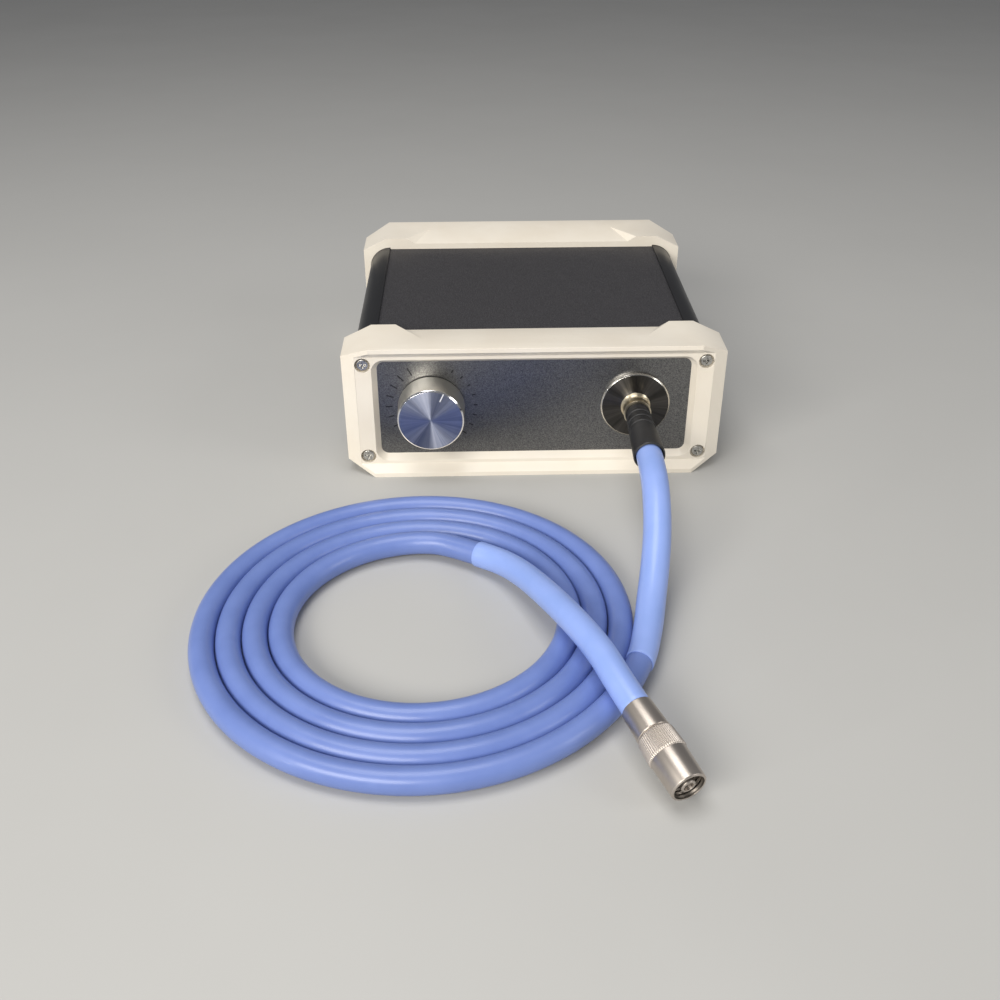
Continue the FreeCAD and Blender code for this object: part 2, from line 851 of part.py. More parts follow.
def coilWire():
    """The coil lies flat and spirals inwards. Each quarter turn is an arc a quarter of the pitch
    tighter than the last. Both ends lean up a little, out to where the sleeves take over."""
    step = coilPitch / 4
    nearest = V(coilX, coilY - coilRadius, cordRadius)
    back = V(1, 0, 0)
    edge, point, heading, inward = coilArc(nearest, back, tilted(V(0, 1, 0), coilStartTilt),
                                           coilRadius + step / 2, math.radians(coilStartAngle))
    entry = point + heading * cordDiameter
    edges = [Part.LineSegment(entry, point).toShape(), edge]
    entryHeading = heading * -1
    point, heading, inward = nearest, V(-1, 0, 0), V(0, 1, 0)
    radius = coilRadius - step / 2
    for quarter in range(coilQuarters):
        edge, point, heading, inward = coilArc(point, heading, inward, radius, math.pi / 2)
        edges.append(edge)
        radius -= step
    inward = tilted(inward, coilEndTilt)
    edge, point, heading, inward = coilArc(point, heading, inward, coilTopRadius, math.pi / 2)
    edges.append(edge)
    edge, point, heading, inward = coilArc(point, heading, inward, coilEndRadius,
                                           math.radians(coilEndAngle))
    edges.append(edge)
    leave = point + heading * cordDiameter
    edges.append(Part.LineSegment(point, leave).toShape())
    return Part.Wire(edges), entry, entryHeading, leave, heading


def leadPoints(entry, entryHeading):
    """Route of the stretch from the boot down to the coil."""
    gripped = socketBase() - V(0, bootStart() + fitGap + bootLength - sleeveEntry, 0)
    return [gripped, gripped - V(0, leadRun, 0), V(39.6, -132.0, 25.1), V(38.2, -145.6, 19.0),
            V(36.3, -156.7, 13.4), V(34.9, -165.5, 9.6), entry - entryHeading * entryRun, entry]


def tipDirection():
    return V(*tipReach).normalize()


def tailPoints(leave, leaveHeading):
    """Route of the stretch that climbs over the turns and down to the connector."""
    tip = V(tipX, tipY, tipZ)
    return [leave, leave + leaveHeading * leaveRun, V(-11.5, -147.5, 7.3), V(-6.6, -157.2, 10.3),
            V(0.3, -172.0, 13.4), V(6.9, -186.0, 14.8), V(12.8, -200.2, 15.1),
            tip - tipDirection() * tipRun, tip]


def leastGap(points, width):
    """Least free space between stretches of the coil that lie 40 mm or more apart along it."""
    step = (points[1] - points[0]).Length
    skip = int(40 / step)
    least = 1e9
    for i, p in enumerate(points):
        for q in points[i + skip:]:
            least = min(least, (p - q).Length)
    return least - width


def tipFrame(along):
    return V(tipX, tipY, tipZ) + tipDirection() * along


def tipCollar():
    """The plain metal collar, with the shoulder that the nut turns on."""
    spindle = nutBore - turnGap * 4
    socket = tipCollarRadius - tipCollarWall
    profile = [(socket, 0), (tipCollarBack - tipCollarEdge, 0), (tipCollarBack, tipCollarEdge),
               (tipCollarRadius, tipCollarLength - tipCollarEdge),
               (tipCollarRadius - tipCollarEdge, tipCollarLength),
               (spindle, tipCollarLength), (spindle, tipCollarLength + spindleLength),
               (postRadius, tipCollarLength + spindleLength), (postRadius, tipSocketDepth),
               (socket, tipSocketDepth)]
    return turned(profile, tipFrame(0), tipDirection())


def tipPost():
    """The fibre tube in the middle of the nut."""
    end = tipCollarLength + nutRingLength + nutCupLength - postInset
    profile = [(postBore, tipSocketDepth), (postRadius, tipSocketDepth),
               (postRadius, end - tipCollarEdge), (postRadius - tipCollarEdge, end), (postBore, end)]
    return turned(profile, tipFrame(0), tipDirection())


def knurledBlank(radius, start, length):
    """A ring with straight knurling: a star outline drawn out along the axis."""
    points = []
    for k in range(2 * knurlTeeth):
        r = radius if k % 2 == 0 else radius - knurlDepth
        a = math.pi * k / knurlTeeth
        points.append(V(r * math.cos(a), r * math.sin(a), 0))
    prism = Part.Face(Part.makePolygon(points + points[:1])).extrude(V(0, 0, length))
    prism.Placement = FreeCAD.Placement(tipFrame(start), FreeCAD.Rotation(V(0, 0, 1), tipDirection()))
    return prism


def couplingNut():
    """The nut that turns on the collar: knurled ring behind, threaded cup in front."""
    start = tipCollarLength + turnGap
    ringEnd = start + nutRingLength
    end = tipCollarLength + nutRingLength + nutCupLength
    ring = knurledBlank(nutRingRadius, start, nutRingLength)
    waist = nutRingRadius - nutChamfer
    ring = ring.common(turned([(0, start), (waist, start), (nutRingRadius, start + nutChamfer),
                               (nutRingRadius, ringEnd - nutChamfer), (waist, ringEnd),
                               (0, ringEnd)], tipFrame(0), tipDirection()))
    cup = turned([(0, ringEnd - 1.0), (nutCupRadius, ringEnd - 1.0), (nutCupRadius, end - tipCollarEdge),
                  (nutCupRadius - tipCollarEdge, end), (0, end)], tipFrame(0), tipDirection())
    bore = nutCupRadius - nutRim
    shoulder = tipCollarLength + spindleLength + nutChamfer
    hollow = [(0, start - 1), (nutBore - turnGap * 2, start - 1),
              (nutBore - turnGap * 2, shoulder), (nutBore, shoulder + nutChamfer),
              (nutBore, ringEnd + 1.0)]
    threadStart = end - nutRimDepth - threadRunOut - nutThreads * nutThreadPitch
    hollow.append((nutBore, threadStart))
    for k in range(nutThreads):
        at = threadStart + k * nutThreadPitch
        hollow += [(nutBore + nutThreadDepth, at + nutThreadPitch / 2), (nutBore, at + nutThreadPitch)]
    hollow += [(bore, end - nutRimDepth), (bore, end + 1), (0, end + 1)]
    return union([ring, cup]).cut(turned(hollow, tipFrame(0), tipDirection()))


def lampBracket():
    """An L bracket: foot on the bottom cover, upright with the hole for the light source."""
    front = panelBack + bracketFront - bracketThickness
    half = bracketWidth / 2
    upright = box(socketX - half, socketX + half, front, front + bracketThickness,
                  floorTop, floorTop + sinkHeight + bracketThickness)
    foot = box(socketX - half, socketX + half, front, front + bracketFoot,
               floorTop, floorTop + bracketThickness)
    body = upright.fuse(foot).removeSplitter()
    body = body.cut(cylinderY(ledBoardRadius + 3 * fitGap, socketX, controlHeight,
                              front - 1, front + bracketThickness + 1))
    for x, y in bracketScrewPlaces():
        body = body.cut(cylinderZ(screwHoleRadius, x, y, 0, floorTop + bracketThickness + 1))
    for cutter in lampScrewCutters(front - 1, front + bracketThickness + 1):
        body = body.cut(cutter)
    return body


def bracketScrewPlaces():
    back = panelBack + bracketFront - bracketThickness + bracketFoot - bracketFootInset
    return [(socketX + s * (bracketWidth / 2 - bracketSideInset), back) for s in (-1, 1)]


def bottomCover():
    plate = cover(bezelHeight - coverTop)
    for x, y in bracketScrewPlaces() + boardHoles():
        plate = plate.cut(cylinderZ(screwHoleRadius, x, y, 0, floorTop + 1))
    return plate


def floorScrews(places, clamped):
    """Low-headed screws up through the bottom cover, with the head outside it."""
    under = bezelHeight - coverTop
    screws = []
    for x, y in places:
        head = cylinderZ(screwHeadRadius, x, y, under - screwHeadHeight, under)
        shank = cylinderZ(screwRadius, x, y, under, floorTop + clamped)
        cross = box(x - slotLength / 2, x + slotLength / 2, y - slotWidth / 2, y + slotWidth / 2,
                    under - screwHeadHeight, under - screwHeadHeight + slotDepth)
        other = box(x - slotWidth / 2, x + slotWidth / 2, y - slotLength / 2, y + slotLength / 2,
                    under - screwHeadHeight, under - screwHeadHeight + slotDepth)
        screws.append(head.fuse(shank).removeSplitter().cut(cross).cut(other))
    return Part.makeCompound(screws)


def bracketNuts():
    base = floorTop + bracketThickness
    nuts = []
    for x, y in bracketScrewPlaces():
        nut = hexPrism(fanNutAcross, fanNutThickness, V(x, y, base), V(0, 0, 1))
        nuts.append(nut.cut(cylinderZ(screwRadius + fitGap, x, y, base - 1, base + 4)))
    return Part.makeCompound(nuts)


def lensSeat():
    """Front face of the bracket's upright, which the lens tube's flange rests on."""
    return panelBack + bracketFront - bracketThickness


def lampScrewPlaces():
    side = lampScrewCircle / math.sqrt(2)
    return [(socketX + sx * side, controlHeight + sz * side) for sx in (-1, 1) for sz in (-1, 1)]


def lampScrewCutters(y0, y1):
    return [cylinderY(lampScrewRadius + fitGap, x, z, y0, y1) for x, z in lampScrewPlaces()]


def lampScrews():
    """Screws that clamp the lens tube and the heat sink to the bracket between them."""
    face = lensSeat() - lensTubeFlangeThickness
    end = lensSeat() + bracketThickness + lampScrewBite
    screws = []
    for x, z in lampScrewPlaces():
        head = cylinderY(lampScrewHead, x, z, face - screwHeadHeight, face)
        body = head.fuse(cylinderY(lampScrewRadius, x, z, face, end)).removeSplitter()
        screws.append(body.cut(crossHead(x, z, face - screwHeadHeight, slotDepth, -1)))
    return Part.makeCompound(screws)


def lensTube():
    seat = lensSeat()
    front = seat - lensTubeLength
    outer = lensRadius + fitGap + lensTubeWall
    body = cylinderY(outer, socketX, controlHeight, front, seat)
    body = body.fuse(cylinderY(lensTubeFlange, socketX, controlHeight,
                               seat - lensTubeFlangeThickness, seat)).removeSplitter()
    body = body.cut(cylinderY(lensRadius - lensStop, socketX, controlHeight, front - 1, seat + 1))
    for cutter in lampScrewCutters(front - 1, seat + 1):
        body = body.cut(cutter)
    return body.cut(cylinderY(lensRadius + fitGap, socketX, controlHeight, front - 1,
                              seat - lensTubeFlangeThickness))


def lens(flatY, way):
    """A flat-backed lens: its flat side at flatY, its dome towards way."""
    swell = lensThickness - lensEdge
    sphere = (lensRadius ** 2 + swell ** 2) / (2 * swell)
    y0, y1 = sorted((flatY, flatY + way * (lensThickness + 1)))
    blank = cylinderY(lensRadius, socketX, controlHeight, y0, y1)
    centre = V(socketX, flatY + way * (lensThickness - sphere), controlHeight)
    return blank.common(Part.makeSphere(sphere, centre))


def lensStack():
    """The lenses dome to dome, a spacer between them and a ring in front."""
    rear = lensSeat() - lensTubeFlangeThickness
    rearLens = lens(rear, -1)
    spacerBack = rear - lensEdge
    spacerFront = spacerBack - 2 * (lensThickness - lensEdge) - spacerLength
    spacer = cylinderY(lensRadius, socketX, controlHeight, spacerFront, spacerBack)
    spacer = spacer.cut(cylinderY(lensRadius - 1.2, socketX, controlHeight,
                                  spacerFront - 1, spacerBack + 1))
    domes = [lensDome(rear, -1), lensDome(spacerFront - lensEdge, 1)]
    for dome in domes:
        spacer = spacer.cut(dome)
    frontLens = lens(spacerFront - lensEdge, 1)
    ringBack = spacerFront - lensEdge
    ring = cylinderY(lensRadius, socketX, controlHeight, ringBack - ringLength, ringBack)
    ring = ring.cut(cylinderY(lensRadius - lensStop, socketX, controlHeight,
                              ringBack - ringLength - 1, ringBack + 1))
    return rearLens, spacer, frontLens, ring


def lensDome(flatY, way):
    """The sphere that a lens's dome lies on, a little larger, to relieve what rests on it."""
    swell = lensThickness - lensEdge
    sphere = (lensRadius ** 2 + swell ** 2) / (2 * swell)
    centre = V(socketX, flatY + way * (lensThickness - sphere), controlHeight)
    return Part.makeSphere(sphere + fitGap, centre)


def ledBoard():
    seat = lensSeat() + bracketThickness
    return cylinderY(ledBoardRadius, socketX, controlHeight, seat - ledBoardThickness, seat)


def ledEmitter():
    face = lensSeat() + bracketThickness - ledBoardThickness
    half = ledSide / 2
    body = box(socketX - half, socketX + half, face - 1.0, face,
               controlHeight - half, controlHeight + half)
    dome = Part.makeSphere(ledDome, V(socketX, face - 1.0, controlHeight))
    dome = dome.common(box(socketX - half, socketX + half, face - 1.0 - ledDome, face - 1.0,
                           controlHeight - half, controlHeight + half))
    return body.fuse(dome).removeSplitter()


def heatSink():
    """Base plate behind the light source, with upright fins along the air's path."""
    base = lensSeat() + bracketThickness
    left = socketX - sinkWidth / 2
    z0 = floorTop + bracketThickness
    z1 = z0 + sinkHeight
    body = box(left, left + sinkWidth, base, base + sinkBase, z0, z1)
    gap = (sinkWidth - sinkFinThickness) / (sinkFins - 1)
    fins = []
    for k in range(sinkFins):
        x = left + k * gap
        fins.append(box(x, x + sinkFinThickness, base + sinkBase, base + sinkBase + sinkFinLength,
                        z0 + sinkFinRise, z1))
    body = union([body] + fins)
    for cutter in lampScrewCutters(base - 1, base + sinkBase - 0.5 + fitGap):
        body = body.cut(cutter)
    return body


def fanFrame():
    back = rearPanelBack
    front = back - fanDepth
    body = roundedY(fanSide, fanSide, fanCorner, fanX, midHeight, front, back)
    body = body.cut(cylinderY(fanBore, fanX, midHeight, front - 1, back + 1))
    struts = []
    for angle in (45, 135, 225, 315):
        strut = box(0, fanBore + 1, back - fanStrutDepth, back, -fanStrut / 2, fanStrut / 2)
        strut.rotate(V(0, 0, 0), V(0, 1, 0), angle)
        strut.translate(V(fanX, 0, midHeight))
        struts.append(strut)
    plate = cylinderY(fanHubRadius - 1.5, fanX, midHeight, back - fanStrutDepth, back)
    boss = cylinderY(fanBossRadius, fanX, midHeight, back - fanDepth + 4.0, back)
    body = union([body, plate, boss] + struts)
    body = body.cut(cylinderY(fanAxleRadius + fitGap, fanX, midHeight, front, back - 0.8))
    for x, z in fanHoles():
        body = body.cut(cylinderY(screwHoleRadius, x, z, front - 1, back + 1))
    return body


def fanRotor():
    """Cup over the frame's boss, an axle in it and the blades round it."""
    back = rearPanelBack
    front = back - fanDepth + 0.6
    cupEnd = back - fanStrutDepth - 0.5
    cup = cylinderY(fanHubRadius, fanX, midHeight, front, cupEnd)
    cup = cup.cut(cylinderY(fanHubRadius - 1.2, fanX, midHeight, front + 1.2, cupEnd + 1))
    axle = cylinderY(fanAxleRadius, fanX, midHeight, front, back - 1.0)
    tip = fanBore - fanBladeTip
    shell = cylinderY(tip, fanX, midHeight, front + 0.3, cupEnd - 0.2)
    shell = shell.cut(cylinderY(fanHubRadius - 0.6, fanX, midHeight, front - 1, cupEnd + 1))
    blades = []
    for k in range(fanBlades):
        blade = box(fanHubRadius - 1, tip + 1, -fanDepth, fanDepth,
                    -fanBladeThickness / 2, fanBladeThickness / 2)
        blade.rotate(V(0, 0, 0), V(1, 0, 0), fanBladeAngle)
        blade.rotate(V(0, 0, 0), V(0, 1, 0), 360.0 * k / fanBlades)
        blade.translate(V(fanX, (front + cupEnd) / 2, midHeight))
        blades.append(blade.common(shell))
    return union([cup, axle] + blades)


def fanScrews():
    face = rearPanelBack + panelThickness
    screws = []
    for x, z in fanHoles():
        head = cylinderY(fanScrewHead, x, z, face, face + fanScrewHeadHeight)
        shank = cylinderY(screwRadius, x, z, rearPanelBack - fanDepth - fanNutThickness - 0.5, face)
        body = head.fuse(shank).removeSplitter()
        screws.append(body.cut(crossHead(x, z, face + fanScrewHeadHeight, slotDepth, 1)))
    return Part.makeCompound(screws)


def fanNuts():
    start = rearPanelBack - fanDepth - fanNutThickness
    nuts = []
    for x, z in fanHoles():
        nut = hexPrism(fanNutAcross, fanNutThickness, V(x, start, z), V(0, 1, 0))
        nuts.append(nut.cut(cylinderY(screwRadius + fitGap, x, z, start - 1, start + 4)))
    return Part.makeCompound(nuts)


def powerInlet():
    face = rearPanelBack + panelThickness
    flange = roundedY(inletFlangeWidth, inletFlangeHeight, 4.0, inletX, midHeight,
                      face, face + inletFlangeThickness)
    body = roundedY(inletBodyWidth, inletBodyHeight, 3.0, inletX, midHeight,
                    face - inletBodyDepth, face + 0.5)
    cavity = roundedY(inletCavityWidth, inletCavityHeight, 2.5, inletX, midHeight,
                      face + inletFlangeThickness - inletCavityDepth, face + 4.0)
    whole = union([flange, body]).cut(cavity)
    for x, z in inletHoles():
        whole = whole.cut(cylinderY(screwHoleRadius, x, z, face - 1, face + 4))
    for x, z in pinPlaces():
        whole = whole.cut(pinBox(x, z, -1.0, fitGap))
    return whole


def pinPlaces():
    return [(inletX - pinSpacing, midHeight - pinRise / 2), (inletX, midHeight + pinRise / 2),
            (inletX + pinSpacing, midHeight - pinRise / 2)]


def pinBox(x, z, extra, grow):
    face = rearPanelBack + panelThickness
    cavityFloor = face + inletFlangeThickness - inletCavityDepth
    halfX = pinThickness / 2 + grow
    halfZ = pinWidth / 2 + grow
    return box(x - halfX, x + halfX, face - inletBodyDepth - 5.0 + extra, cavityFloor + pinLength,
               z - halfZ, z + halfZ)


def inletPins():
    return Part.makeCompound([pinBox(x, z, 0, 0) for x, z in pinPlaces()])


def inletScrews():
    face = rearPanelBack + panelThickness + inletFlangeThickness
    screws = []
    for x, z in inletHoles():
        head = cylinderY(screwHeadRadius, x, z, face, face + fanScrewHeadHeight)
        shank = cylinderY(screwRadius, x, z, rearPanelBack - fanNutThickness - 0.5, face)
        body = head.fuse(shank).removeSplitter()
        screws.append(body.cut(crossHead(x, z, face + fanScrewHeadHeight, slotDepth, 1)))
    return Part.makeCompound(screws)


def inletNuts():
    start = rearPanelBack - fanNutThickness
    nuts = []
    for x, z in inletHoles():
        nut = hexPrism(fanNutAcross, fanNutThickness, V(x, start, z), V(0, 1, 0))
        nuts.append(nut.cut(cylinderY(screwRadius + fitGap, x, z, start - 1, start + 4)))
    return Part.makeCompound(nuts)


def rockerPivot():
    return V(switchX, rearPanelBack + panelThickness + 0.2, midHeight)


def switchBody():
    face = rearPanelBack + panelThickness
    frame = roundedY(switchFrameWidth, switchFrameHeight, 1.5, switchX, midHeight,
                     face, face + switchFrameThickness)
    body = box(switchX - switchBodyWidth / 2, switchX + switchBodyWidth / 2,
               face - switchBodyDepth, face + 0.5,
               midHeight - switchBodyHeight / 2, midHeight + switchBodyHeight / 2)
    whole = union([frame, body])
    halfX = rockerWidth / 2 + rockerGap
    halfZ = rockerHeight / 2 + rockerGap
    whole = whole.cut(box(switchX - halfX, switchX + halfX, face - rockerDepth - 1.0, face + 5,
                          midHeight - halfZ, midHeight + halfZ))
    pivot = rockerPivot()
    pin = Part.makeCylinder(rockerPivotRadius, 2 * halfX + 1.0,
                            V(switchX - halfX - 0.5, pivot.y, pivot.z), V(1, 0, 0))
    tags = [box(switchX + s * 5.0 - 2.4, switchX + s * 5.0 + 2.4, face - switchBodyDepth - 6.0,
                face - switchBodyDepth + 1.0, midHeight - 0.4, midHeight + 0.4) for s in (-1, 1)]
    return union([whole, pin] + tags)


def rocker():
    """The rocker leans to its off side. It turns on the pin that the switch's body holds."""
    pivot = rockerPivot()
    face = rearPanelBack + panelThickness
    half = rockerHeight / 2
    proud = face + switchFrameThickness + rockerProud
    outline = [(face - rockerDepth + 1.6, midHeight - half * 0.55), (face + 0.2, midHeight - half),
               (proud - 0.6, midHeight - half), (proud - 1.6, midHeight),
               (proud - 0.6, midHeight + half), (face + 0.2, midHeight + half),
               (face - rockerDepth + 1.6, midHeight + half * 0.55)]
    body = prismX(outline, switchX - rockerWidth / 2, switchX + rockerWidth / 2)
    body = body.cut(Part.makeCylinder(rockerPivotRadius + fitGap, rockerWidth + 2,
                                      V(switchX - rockerWidth / 2 - 1, pivot.y, pivot.z),
                                      V(1, 0, 0)))
    body.rotate(pivot, V(1, 0, 0), rockerTilt)
    return body


def boardHoles():
    x0 = boardX - boardWidth / 2 + boardInset
    x1 = boardX + boardWidth / 2 - boardInset
    y0 = boardStart + boardInset
    y1 = boardEnd - boardInset
    return [(x, y) for x in (x0, x1) for y in (y0, y1)]


def boardTop():
    return floorTop + standoffHeight + boardThickness


def supplyBoard():
    z0 = floorTop + standoffHeight
    plate = box(boardX - boardWidth / 2, boardX + boardWidth / 2, boardStart, boardEnd,
                z0, z0 + boardThickness)
    for x, y in boardHoles():
        plate = plate.cut(cylinderZ(screwHoleRadius, x, y, z0 - 1, z0 + 3))
    return plate


def standoffs():
    posts = []
    for x, y in boardHoles():
        post = cylinderZ(standoffRadius, x, y, floorTop, floorTop + standoffHeight)
        posts.append(post.cut(cylinderZ(screwRadius + fitGap, x, y, floorTop - 1,
                                        floorTop + standoffHeight + 1)))
    return Part.makeCompound(posts)


def boardNuts():
    base = boardTop()
    nuts = []
    for x, y in boardHoles():
        nut = hexPrism(fanNutAcross, fanNutThickness, V(x, y, base), V(0, 0, 1))
        nuts.append(nut.cut(cylinderZ(screwRadius + fitGap, x, y, base - 1, base + 4)))
    return Part.makeCompound(nuts)


def transformer():
    start = boardStart + capacitorSetback + capacitorRadius + partGap
    end = boardEnd - transformerSetback
    half = transformerWidth / 2
    inner = half - windingReach
    z0 = boardTop()
    z1 = z0 + transformerHeight
    core = box(boardX - half, boardX + half, start + windingReach, end - windingReach, z0, z1)
    winding = box(boardX - inner, boardX + inner, start, end, z0 + windingReach, z1 - windingReach)
    return union([core, winding])


def capacitors():
    y = boardStart + capacitorSetback
    return Part.makeCompound([cylinderZ(capacitorRadius, boardX + side * capacitorSpread, y,
                                        boardTop(), boardTop() + capacitorHeight)
                              for side in (-1, 1)])


def terminalPlaces():
    """Screw terminals: mains at the back of the board, lamp, fan and dial at its other edges."""
    sideX = boardX + boardWidth / 2 - terminalInset
    return {"mains": (boardX + mainsTerminalX, boardEnd - mainsTerminalInset, terminalLength,
                      terminalWidth),
            "lamp": (sideX, boardStart + lampTerminalInset, terminalWidth, terminalLength),
            "fan": (sideX, boardEnd - fanTerminalInset, terminalWidth, terminalLength),
            "dial": (dialX, boardStart + terminalInset, terminalLength, terminalWidth)}


def terminals():
    blocks = []
    for x, y, sizeX, sizeY in terminalPlaces().values():
        blocks.append(box(x - sizeX / 2, x + sizeX / 2, y - sizeY / 2, y + sizeY / 2,
                          boardTop(), boardTop() + terminalHeight))
    return Part.makeCompound(blocks)


def main():
    os.makedirs("parts", exist_ok=True)
    front = bezel()
    export("front_bezel", front)
    export("rear_bezel", mirroredY(front))
    export("left_side_profile", sideProfile(-1))
    export("right_side_profile", sideProfile(1))
    export("top_cover", cover(coverBottom))
    export("bottom_cover", bottomCover())
    export("front_panel", frontPanel())
    export("rear_panel", rearPanel())
    screws = caseScrews()
    export("front_bezel_screws", screws)
    export("rear_bezel_screws", mirroredY(screws))

    export("dial_knob", knob())
    export("knob_set_screw", knobSetScrew())
    export("dial_shaft", dialShaft())
    export("dial_potentiometer", dialSensor())
    export("dial_washer", dialWasher())
    export("dial_nut", dialNut())

    export("socket_flange", socketFlange())
    export("socket_nut", socketNut())
    export("plug_collar", plugCollar())
    export("plug_ferrule", plugFerrule())
    export("plug_boot", plugBoot())

    wire, entry, entryHeading, leave, leaveHeading = coilWire()
    coil = pipe(wire, cordRadius)
    export("light_guide_coil", coil)
    points = wire.discretize(Distance=1.5)
    print("coil length", round(wire.Length, 1), "volume over section",
          round(coil.Volume / (math.pi * cordRadius ** 2), 1),
          "least gap", round(leastGap(points, cordDiameter), 2))
    for name, route, sleeve in (("lead", leadPoints(entry, entryHeading), leadSleeveRadius),
                                ("tail", tailPoints(leave, leaveHeading), tailSleeveRadius)):
        path, radii = routeWire(route)
        core = pipe(path, cordRadius)
        export("light_guide_" + name, core)
        outer = pipe(path, sleeve)
        export(name + "_sleeve", outer.cut(pipe(path, cordRadius + sleeveGap)))
        print(name, "length", round(path.Length, 1), "volume over section",
              round(core.Volume / (math.pi * cordRadius ** 2), 1), "radii", radii)

    fibre = fibreRod(V(socketX, panelBack + ferruleReach, controlHeight), V(0, -1, 0),
                     ferruleBore - fitGap, ferruleReach + panelThickness + flareHeight)
    export("lamp_end_fibres", fibre)
    tipEnd = tipCollarLength + nutRingLength + nutCupLength - postInset
    export("tip_fibres", fibreRod(tipFrame(tipSocketDepth + fitGap), tipDirection(),
                                  postBore - fitGap, tipEnd - tipSocketDepth - fibreInset))
    export("tip_collar", tipCollar())
    export("tip_post", tipPost())
    export("coupling_nut", couplingNut())

    export("lamp_bracket", lampBracket())
    export("bracket_screws", floorScrews(bracketScrewPlaces(), bracketThickness + fanNutThickness))
    export("bracket_nuts", bracketNuts())
    export("lens_tube", lensTube())
    export("lamp_screws", lampScrews())
    rearLens, spacer, frontLens, ring = lensStack()
    export("rear_lens", rearLens)
    export("lens_spacer", spacer)
    export("front_lens", frontLens)
    export("lens_ring", ring)
    export("led_board", ledBoard())
    export("led_emitter", ledEmitter())
    export("heat_sink", heatSink())

    export("fan_frame", fanFrame())
    export("fan_rotor", fanRotor())
    export("fan_screws", fanScrews())
    export("fan_nuts", fanNuts())

    export("power_inlet", powerInlet())
    export("inlet_pins", inletPins())
    export("inlet_screws", inletScrews())
    export("inlet_nuts", inletNuts())
    export("power_switch", switchBody())
    export("switch_rocker", rocker())

    export("supply_board", supplyBoard())
    export("board_standoffs", standoffs())
    export("board_screws", floorScrews(boardHoles(),
                                       standoffHeight + boardThickness + fanNutThickness))
    export("board_nuts", boardNuts())
    export("board_transformer", transformer())
    export("board_capacitors", capacitors())
    export("board_terminals", terminals())


main()
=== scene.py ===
import json
import math

import bmesh
import bpy
import numpy as np
from mathutils import Matrix, Vector


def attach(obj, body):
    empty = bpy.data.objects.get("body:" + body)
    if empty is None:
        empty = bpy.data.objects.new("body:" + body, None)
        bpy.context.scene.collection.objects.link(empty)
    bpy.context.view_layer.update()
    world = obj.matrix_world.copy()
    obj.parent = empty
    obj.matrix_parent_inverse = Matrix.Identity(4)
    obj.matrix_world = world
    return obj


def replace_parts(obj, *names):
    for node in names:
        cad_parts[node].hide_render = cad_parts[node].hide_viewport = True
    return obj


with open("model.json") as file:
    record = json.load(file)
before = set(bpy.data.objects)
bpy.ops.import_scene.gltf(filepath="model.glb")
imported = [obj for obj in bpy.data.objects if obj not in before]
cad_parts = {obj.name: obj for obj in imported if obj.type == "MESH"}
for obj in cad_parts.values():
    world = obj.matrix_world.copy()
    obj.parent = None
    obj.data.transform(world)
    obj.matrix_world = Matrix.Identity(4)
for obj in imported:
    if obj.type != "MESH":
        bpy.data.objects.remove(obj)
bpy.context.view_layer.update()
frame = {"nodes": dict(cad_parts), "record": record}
mm = 0.001
bodyOf = {node: body for body, nodes in frame["record"]["behaviour"]["bodies"].items()
          for node in nodes}

# Axes of the knob and the socket as (across, up), and the panel's front, in millimetres
dialPlace = (-40.6, 28.6)
socketPlace = (40.1, 28.6)
panelFront = -65.65

# The camera stands where the photograph was taken from
cameraView = {
    "place": (-23.58 * mm, -461.1 * mm, 232.92 * mm),
    "turnRight": 1.45,  # degrees
    "lookDown": 32.15,
    "lean": -0.14,
    "focalPixels": 1119.17,
    "framePixels": 1000,
    "sensor": 36.0,
    "nearest": 10 * mm,
}


def addCamera(c):
    data = bpy.data.cameras.new("camera")
    data.sensor_width = c["sensor"]
    data.lens = c["focalPixels"] / c["framePixels"] * c["sensor"]
    data.clip_start = c["nearest"]
    camera = bpy.data.objects.new("camera", data)
    bpy.context.scene.collection.objects.link(camera)
    turn = Matrix.Rotation(math.radians(-c["turnRight"]), 4, "Z")
    pitch = Matrix.Rotation(math.radians(90 - c["lookDown"]), 4, "X")
    roll = Matrix.Rotation(math.radians(c["lean"]), 4, "Z")
    camera.matrix_world = Matrix.Translation(c["place"]) @ turn @ pitch @ roll
    bpy.context.scene.camera = camera


addCamera(cameraView)
print("camera placed")


# Ways of making a mesh

# A grid of points becomes a surface: each cell of the grid is one face, and u runs round it
def surfaceMesh(name, points, wrapU=False, wrapV=False, alongV=None, sharp=35):
    nu, nv = points.shape[:2]
    i, j = np.meshgrid(np.arange(nu if wrapU else nu - 1), np.arange(nv if wrapV else nv - 1),
                       indexing="ij")
    i, j = i.ravel(), j.ravel()
    nextI, nextJ = (i + 1) % nu, (j + 1) % nv
    faces = np.stack([i * nv + j, nextI * nv + j, nextI * nv + nextJ, i * nv + nextJ], -1)
    mesh = bpy.data.meshes.new(name)
    mesh.from_pydata(points.reshape(-1, 3).tolist(), [], faces.tolist())
    if alongV is None:
        alongV = np.arange(nv + 1) / nv
    around = np.stack([i, i + 1, i + 1, i], -1) / nu
    along = np.stack([alongV[j], alongV[j], alongV[j + 1], alongV[j + 1]], -1)
    layer = mesh.uv_layers.new(name="surface")
    layer.data.foreach_set("uv", np.stack([around, along], -1).astype(np.float32).ravel())
    work = bmesh.new()
    work.from_mesh(mesh)
    bmesh.ops.remove_doubles(work, verts=work.verts, dist=1e-7)
    bmesh.ops.dissolve_degenerate(work, edges=work.edges, dist=1e-8)
    bmesh.ops.recalc_face_normals(work, faces=work.faces)
    work.to_mesh(mesh)
    work.free()
    return shown(name, mesh, sharp)


